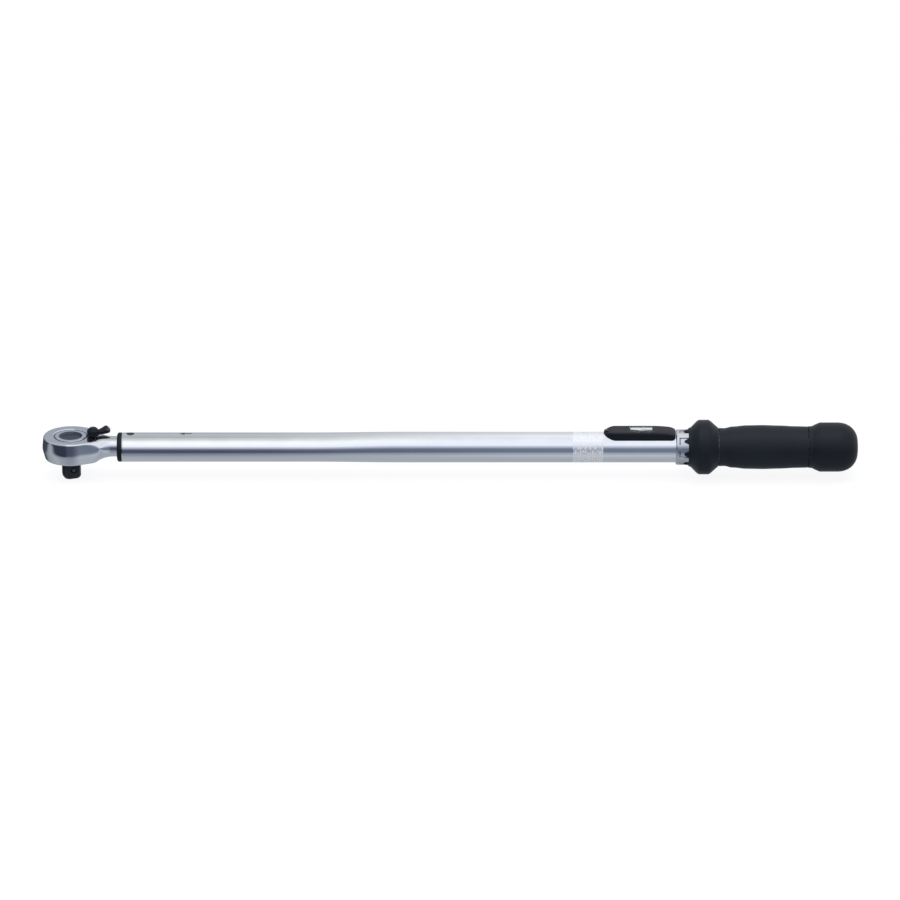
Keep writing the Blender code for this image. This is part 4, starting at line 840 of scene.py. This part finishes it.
acrylic, tree, place = new_material("clear_acrylic")
smear = add(tree, NOISE, Vector=place, Scale=120.0, Detail=4.0)
haze = add(tree, MAP_RANGE, i0=smear, i1=0.35, i2=0.75, i3=0.03, i4=0.12)
clear = add(tree, PRINCIPLED, Base_Color=hex_colour("D0D4D7"), Roughness=haze, IOR=1.49,
            Transmission_Weight=1.0)
add(tree, OUTPUT, Surface=clear)
lens = box_tool("scale_lens", lens_low, lens_high, 0.25)
smoothed(lens, 40)
lens.visible_shadow = False
lens.visible_diffuse = False
fitted(lens, acrylic, "tube", ["window_lens"])


# --- Scale ---
# A white enamelled strip that the running nut carries along under the lens, printed with graduations
# and plain numbers in black.
def repeat_tree(name):
    """Geometry nodes that place copies of a piece, each a step and a turn on from the last."""
    made = bpy.data.node_groups.new(name, "GeometryNodeTree")
    for way, name, kind in (("INPUT", "Geometry", "Geometry"), ("INPUT", "Piece", "Object"),
                            ("INPUT", "Count", "Int"), ("INPUT", "Start", "Vector"),
                            ("INPUT", "Step", "Vector"), ("INPUT", "Turn", "Float"),
                            ("INPUT", "Material", "Material"), ("OUTPUT", "Geometry", "Geometry")):
        made.interface.new_socket(name, in_out=way, socket_type=f"NodeSocket{kind}")
    given = add(made, "NodeGroupInput")
    line = add(made, "GeometryNodeMeshLine", {"mode": "OFFSET"}, Count=given.outputs["Count"],
               Start_Location=given.outputs["Start"], Offset=given.outputs["Step"])
    piece = add(made, "GeometryNodeObjectInfo", Object=given.outputs["Piece"])
    turn = add(made, MATHS, MULTIPLY, i0=add(made, "GeometryNodeInputIndex"), i1=given.outputs["Turn"])
    euler = add(made, "ShaderNodeCombineXYZ", X=turn)
    spin = add(made, "FunctionNodeEulerToRotation", Euler=euler)
    copies = add(made, "GeometryNodeInstanceOnPoints", Points=line, Instance=piece.outputs["Geometry"],
                 Rotation=spin)
    real = add(made, "GeometryNodeRealizeInstances", Geometry=copies)
    painted = add(made, "GeometryNodeSetMaterial", Geometry=real, Material=given.outputs["Material"])
    add(made, "NodeGroupOutput", i0=painted)
    return made


repeats = repeat_tree("copies_in_a_row_or_ring")


def repeated(name, piece, material, count, start=(0, 0, 0), step=(0, 0, 0), turn=0.0):
    """One plain mesh of many copies of a piece, made by the node tree; the piece itself is removed."""
    host = placed(name, bpy.data.meshes.new(name))
    change = host.modifiers.new("copies", "NODES")
    change.node_group = repeats
    values = {"Piece": piece, "Count": count, "Start": tuple(c * mm for c in start),
              "Step": tuple(c * mm for c in step), "Turn": math.radians(turn), "Material": material}
    for item in repeats.interface.items_tree:
        if item.name in values:
            change[item.identifier] = values[item.name]
    host.update_tag()
    settled(host)
    bpy.data.objects.remove(piece)
    return host


enamel, tree, place = new_material("white_enamel")
speck = add(tree, NOISE, Vector=place, Scale=400.0, Detail=3.0)
white = add(tree, MIX, COLOUR_MIX, Factor=speck, i6=hex_colour("D9DADB"), i7=hex_colour("E9EAEA"))
coat = add(tree, PRINCIPLED, Base_Color=white.outputs[2], Roughness=0.35, IOR=1.5)
add(tree, OUTPUT, Surface=coat)
ink = moulded_black("black_scale_ink", "17191C", 0.6, 2500.0, 0.00001)

strip_end = carrier_high.x - 2.0
strip_top = carrier_high.z + 0.14
strip = box_tool("scale_strip", carrier_low, (strip_end, carrier_high.y, strip_top))
nut_low, nut_high = [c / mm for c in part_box("running_nut")]
key_room = box_tool("key_room", (nut_low.x - 2, -4.8, axis_z + 10),
                    (nut_high.x + 0.6, 4.8, nut_high.z + 0.03))
shaped(strip, [key_room], "DIFFERENCE")
smoothed(strip)
fitted(strip, enamel, "nut", ["scale_carrier"])


marks_start, mark_pitch, number_pitch = 440.2, 1.8, 9.0
mark_height, number_half = 0.05, 0.025


def mark(length, width=0.28):
    """One raised bar of ink across the strip, built where the row starts."""
    return box_tool("mark", (-width / 2, -length / 2, 0.0), (width / 2, length / 2, mark_height))


def inked(piece):
    """Ink rides with the strip."""
    smoothed(piece)
    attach(piece, "nut")
    return piece


inked(repeated("short_marks", mark(1.4), ink, 17, (marks_start, -4.5, strip_top), (mark_pitch, 0, 0)))
inked(repeated("long_marks", mark(2.6, 0.4), ink, 4, (marks_start, -3.9, strip_top), (number_pitch, 0, 0)))
for i in range(4):
    text = bpy.data.curves.new("number", "FONT")
    text.body = str(60 + 40 * i)
    text.size = 3.4 * mm
    text.align_x = "CENTER"
    text.align_y = "CENTER"
    text.extrude = number_half * mm
    text.resolution_u = 4
    number = placed("scale_number", text)
    number.location = (mm * (marks_start + number_pitch * i), 0.9 * mm, mm * strip_top + number_half * mm)
    bpy.context.view_layer.update()
    flat = bpy.data.meshes.new_from_object(number.evaluated_get(bpy.context.evaluated_depsgraph_get()))
    flat.transform(number.matrix_world)
    bpy.data.objects.remove(number)
    printed = placed(f"scale_number_{i + 1}", flat)
    flat.materials.clear()
    flat.materials.append(ink)
    inked(printed)


# --- Index collar ---
# Turned from steel bar, milled with eight dogs and chromed. It is fixed on the tube and stops the
# handle turning while the lock ring's tongues are pushed in between the dogs.
dog_count, dog_middle = 8, 27.0
dog_step = 360 / dog_count
collar_low, collar_high = along_tube("index_collar")
collar_bore, collar_r = 12.4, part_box("index_collar")[1].y / mm
waist_r = collar_r - 1.05
collar_line = softened([(collar_low, collar_bore), (collar_low, collar_r - 0.7),
                        (collar_low + 0.8, collar_r), (collar_low + 2.6, collar_r),
                        (collar_low + 3.4, waist_r), (collar_high, waist_r), (collar_high, collar_bore)], 0.3)
collar_line.append(collar_line[0])
collar = turned("index_collar_body", collar_line, 128, closed=True)
collar_chrome = chrome_plate("dull_chrome_on_turned_steel", colour="A1A4AA", roughness=0.2)


def round_collar(name, piece, material):
    """Copies of a piece all round the collar, one for each dog."""
    return repeated(name, piece, material, dog_count, (0, 0, axis_z), turn=dog_step)


def sector(name, low_x, high_x, low_r, high_r, middle, half_low, half_high):
    """A block between two radii round the tube's line, its half angles given at both ends in degrees."""
    rings = []
    for x, half in ((low_x, half_low), (high_x, half_high)):
        ring = []
        for radius, way in ((high_r, 1), (low_r, -1)):
            for i in range(9):
                a = math.radians(middle + way * half * (i / 4 - 1))
                ring.append((x, radius * math.cos(a), radius * math.sin(a)))
        rings.append(ring)
    return loft(name, rings)


dog = sector("dog", 476.3, 487.6, 12.65, collar_r, dog_middle, 10.5, 10.5)
edged(dog, 0.35)
dogs = round_collar("collar_dogs", dog, collar_chrome)
shaped(collar, [dogs], "UNION")
smoothed(collar, 35)
fitted(collar, collar_chrome, "tube", ["index_collar"])


# --- Lock ring ---
# Moulded in black nylon with a swollen middle for the fingers. It stands unlocked at rest and slides 3 mm
# forward to lock the handle. Its pointed black tongues sit between the collar's dogs: partly locking teeth,
# partly painted shade in the gaps.
ring_line = softened([(508.0, 13.8), (508.0, 15.4), (506.4, 16.6), (502.1, 20.45), (500.5, 21.45),
                      (492.9, 21.45), (491.3, 20.55), (486.6, 15.75), (484.6, 14.85), (484.6, 14.25),
                      (488.0, 14.25), (488.0, 13.2), (490.0, 13.2), (490.0, 13.8)], 0.7, 4)
ring_line.append(ring_line[0])
lock_ring = turned("sliding_lock_ring", ring_line, 144, closed=True)
# The tongues are partly the ring's locking teeth and partly painted shade: black pieces that fill the shaded
# gaps between the dogs.
tongue = sector("tongue", 481.1, 485.4, 13.25, 14.5, dog_middle + dog_step / 2, 1.5, 11.2)
tongues_and_gap_shade = round_collar("lock_ring_tongues", tongue, nylon_black)
shaped(lock_ring, [tongues_and_gap_shade], "UNION")
slot = sector("slot", 486.5, 491.0, 12.4, 14.25, dog_middle, 11.6, 11.6)
slots = round_collar("lock_ring_slots", slot, nylon_black)
shaped(lock_ring, [slots], "DIFFERENCE")
smoothed(lock_ring, 24)
handle_nylon = moulded_black("black_nylon_handle_moulding", "0D1217", 0.42, 1100.0, 0.00006)
fitted(lock_ring, handle_nylon, "lock_ring", ["lock_ring"])


# --- Grip ---
# Soft black rubber moulded over the handle's core, swollen in the middle for the palm. Its surface is
# evenly grained from the mould.
grip_low, grip_high = along_tube("grip")
# The barrel's radius at shares of its length.
grip_shares = [(0.0, 15.0), (0.06, 14.9), (0.15, 16.15), (0.32, 17.1), (0.5, 17.3), (0.68, 16.95),
               (0.86, 16.4), (1.0, 16.2)]


def through(marks, share):
    """A smooth value between (share, value) marks."""
    for (a, low), (b, high) in zip(marks, marks[1:]):
        if share <= b:
            t = (share - a) / (b - a)
            return low + (high - low) * t * t * (3 - 2 * t)
    return marks[-1][1]


grip_line = [(grip_high, 13.8), (grip_high, 15.9), (grip_high - 0.3, 16.2)]
grip_line += [(grip_high - 0.3 - (grip_high - grip_low - 0.6) * i / 60, through(grip_shares, 1 - i / 60))
              for i in range(1, 61)]
grip_line += [(grip_low, 14.7), (grip_low, 13.8), (grip_high, 13.8)]
grip = turned("rubber_grip", grip_line, 128, closed=True)
smoothed(grip, 35)
grip_rubber = moulded_black("black_grip_rubber", "0F141A", 0.46, 900.0, 0.00009)
fitted(grip, grip_rubber, "handle", ["grip"])


# --- End cap ---
# A hard nylon cap with a coned front and a domed end closes the handle.
cap_x0, cap_x1 = along_tube("end_cap")
cap_line = [(cap_x0, 13.0), (cap_x0, 16.05), (cap_x0 + 0.3, 16.35)]
dome_start, dome_r, face_r = 601.2, 19.35, 5.0
cap_line += softened([(cap_x0 + 0.3, 16.35), (581.6, 16.5), (584.4, 17.95), (587.8, dome_r),
                      (dome_start, dome_r)], 0.8, 4)[1:]
for i in range(1, 25):
    a = math.radians(90 * (1 - i / 24))
    reach = max(0.0, math.cos(a)) ** 0.9
    cap_line.append((dome_start + (cap_x1 - dome_start) * reach, face_r + (dome_r - face_r) * math.sin(a)))
cap_line += [(cap_x1, 0.0)]
bored = [(cap_x1 - 4.0, 0.0), (cap_x1 - 4.0, 6.0), (594.0, 6.0), (590.5, 6.0), (590.5, 13.0),
         (cap_x0, 13.0)]
cap = turned("handle_end_cap", cap_line + bored, 128, closed=True)
smoothed(cap, 30)
fitted(cap, handle_nylon, "handle", ["end_cap"])


# --- Main spring ---
# Cold-wound spring wire with closed ends. It shortens towards the plunger as the handle turns in. It
# starts a little behind the plunger, which the head's tilt pushes back.
plunger_room = 1.1
spring_low, spring_high = along_tube("main_spring")
spring_low += plunger_room
wire_r, coil_r, spring_turns = 1.9, 7.2, 14.0
wire_rings = []
wire_steps = int(spring_turns * 28)
wire_turns = [2 * math.pi * k / 12 for k in range(12)]
first = spring_low + wire_r
reach = spring_high - spring_low - 2 * wire_r
pitch = (reach - 2 * wire_r) / (spring_turns - 2)
for i in range(wire_steps + 1):
    t = i / wire_steps * spring_turns
    if t < 1:
        x = first + wire_r * t * t
    elif t > spring_turns - 1:
        x = first + reach - wire_r * (spring_turns - t) ** 2
    else:
        x = first + wire_r + pitch * (t - 1)
    a = 2 * math.pi * t
    outward = Vector((0, math.cos(a), math.sin(a)))
    centre = Vector((x, 0, axis_z)) + outward * coil_r
    round_wire = [math.cos(b) * outward + math.sin(b) * Vector((1, 0, 0)) for b in wire_turns]
    wire_rings.append([tuple(centre + wire_r * way) for way in round_wire])
spring = loft("wound_main_spring", wire_rings)
smoothed(spring, 40)
spring_steel = steel("oil_tempered_spring_wire", "6C6F75", 0.32, (400.0, 60.0, 60.0))
fitted(spring, spring_steel, "tube", ["main_spring"])
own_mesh(spring)


# --- Works inside the tube ---
# These parts keep the shapes that they were machined to: ground steel for what slides or rolls,
# blackened screws and bronze for the running nut.
bronze = steel("oiled_bearing_bronze", "9A7B4A", 0.3, (80.0, 200.0, 80.0))
works = {
    ground_steel: ("pawl", "pawl_pin", "plunger", "tilt_block", "spring_seat", "thrust_washer", "end_plug",
                   "adjusting_screw", "handle_core"),
    black_oxide: ("plug_screw_1", "plug_screw_2", "cap_screw", "housing_screw"),
    bronze: ("running_nut",),
}
for finish, names in works.items():
    for name in names:
        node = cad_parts[name]
        node.data.materials.clear()
        node.data.materials.append(finish)
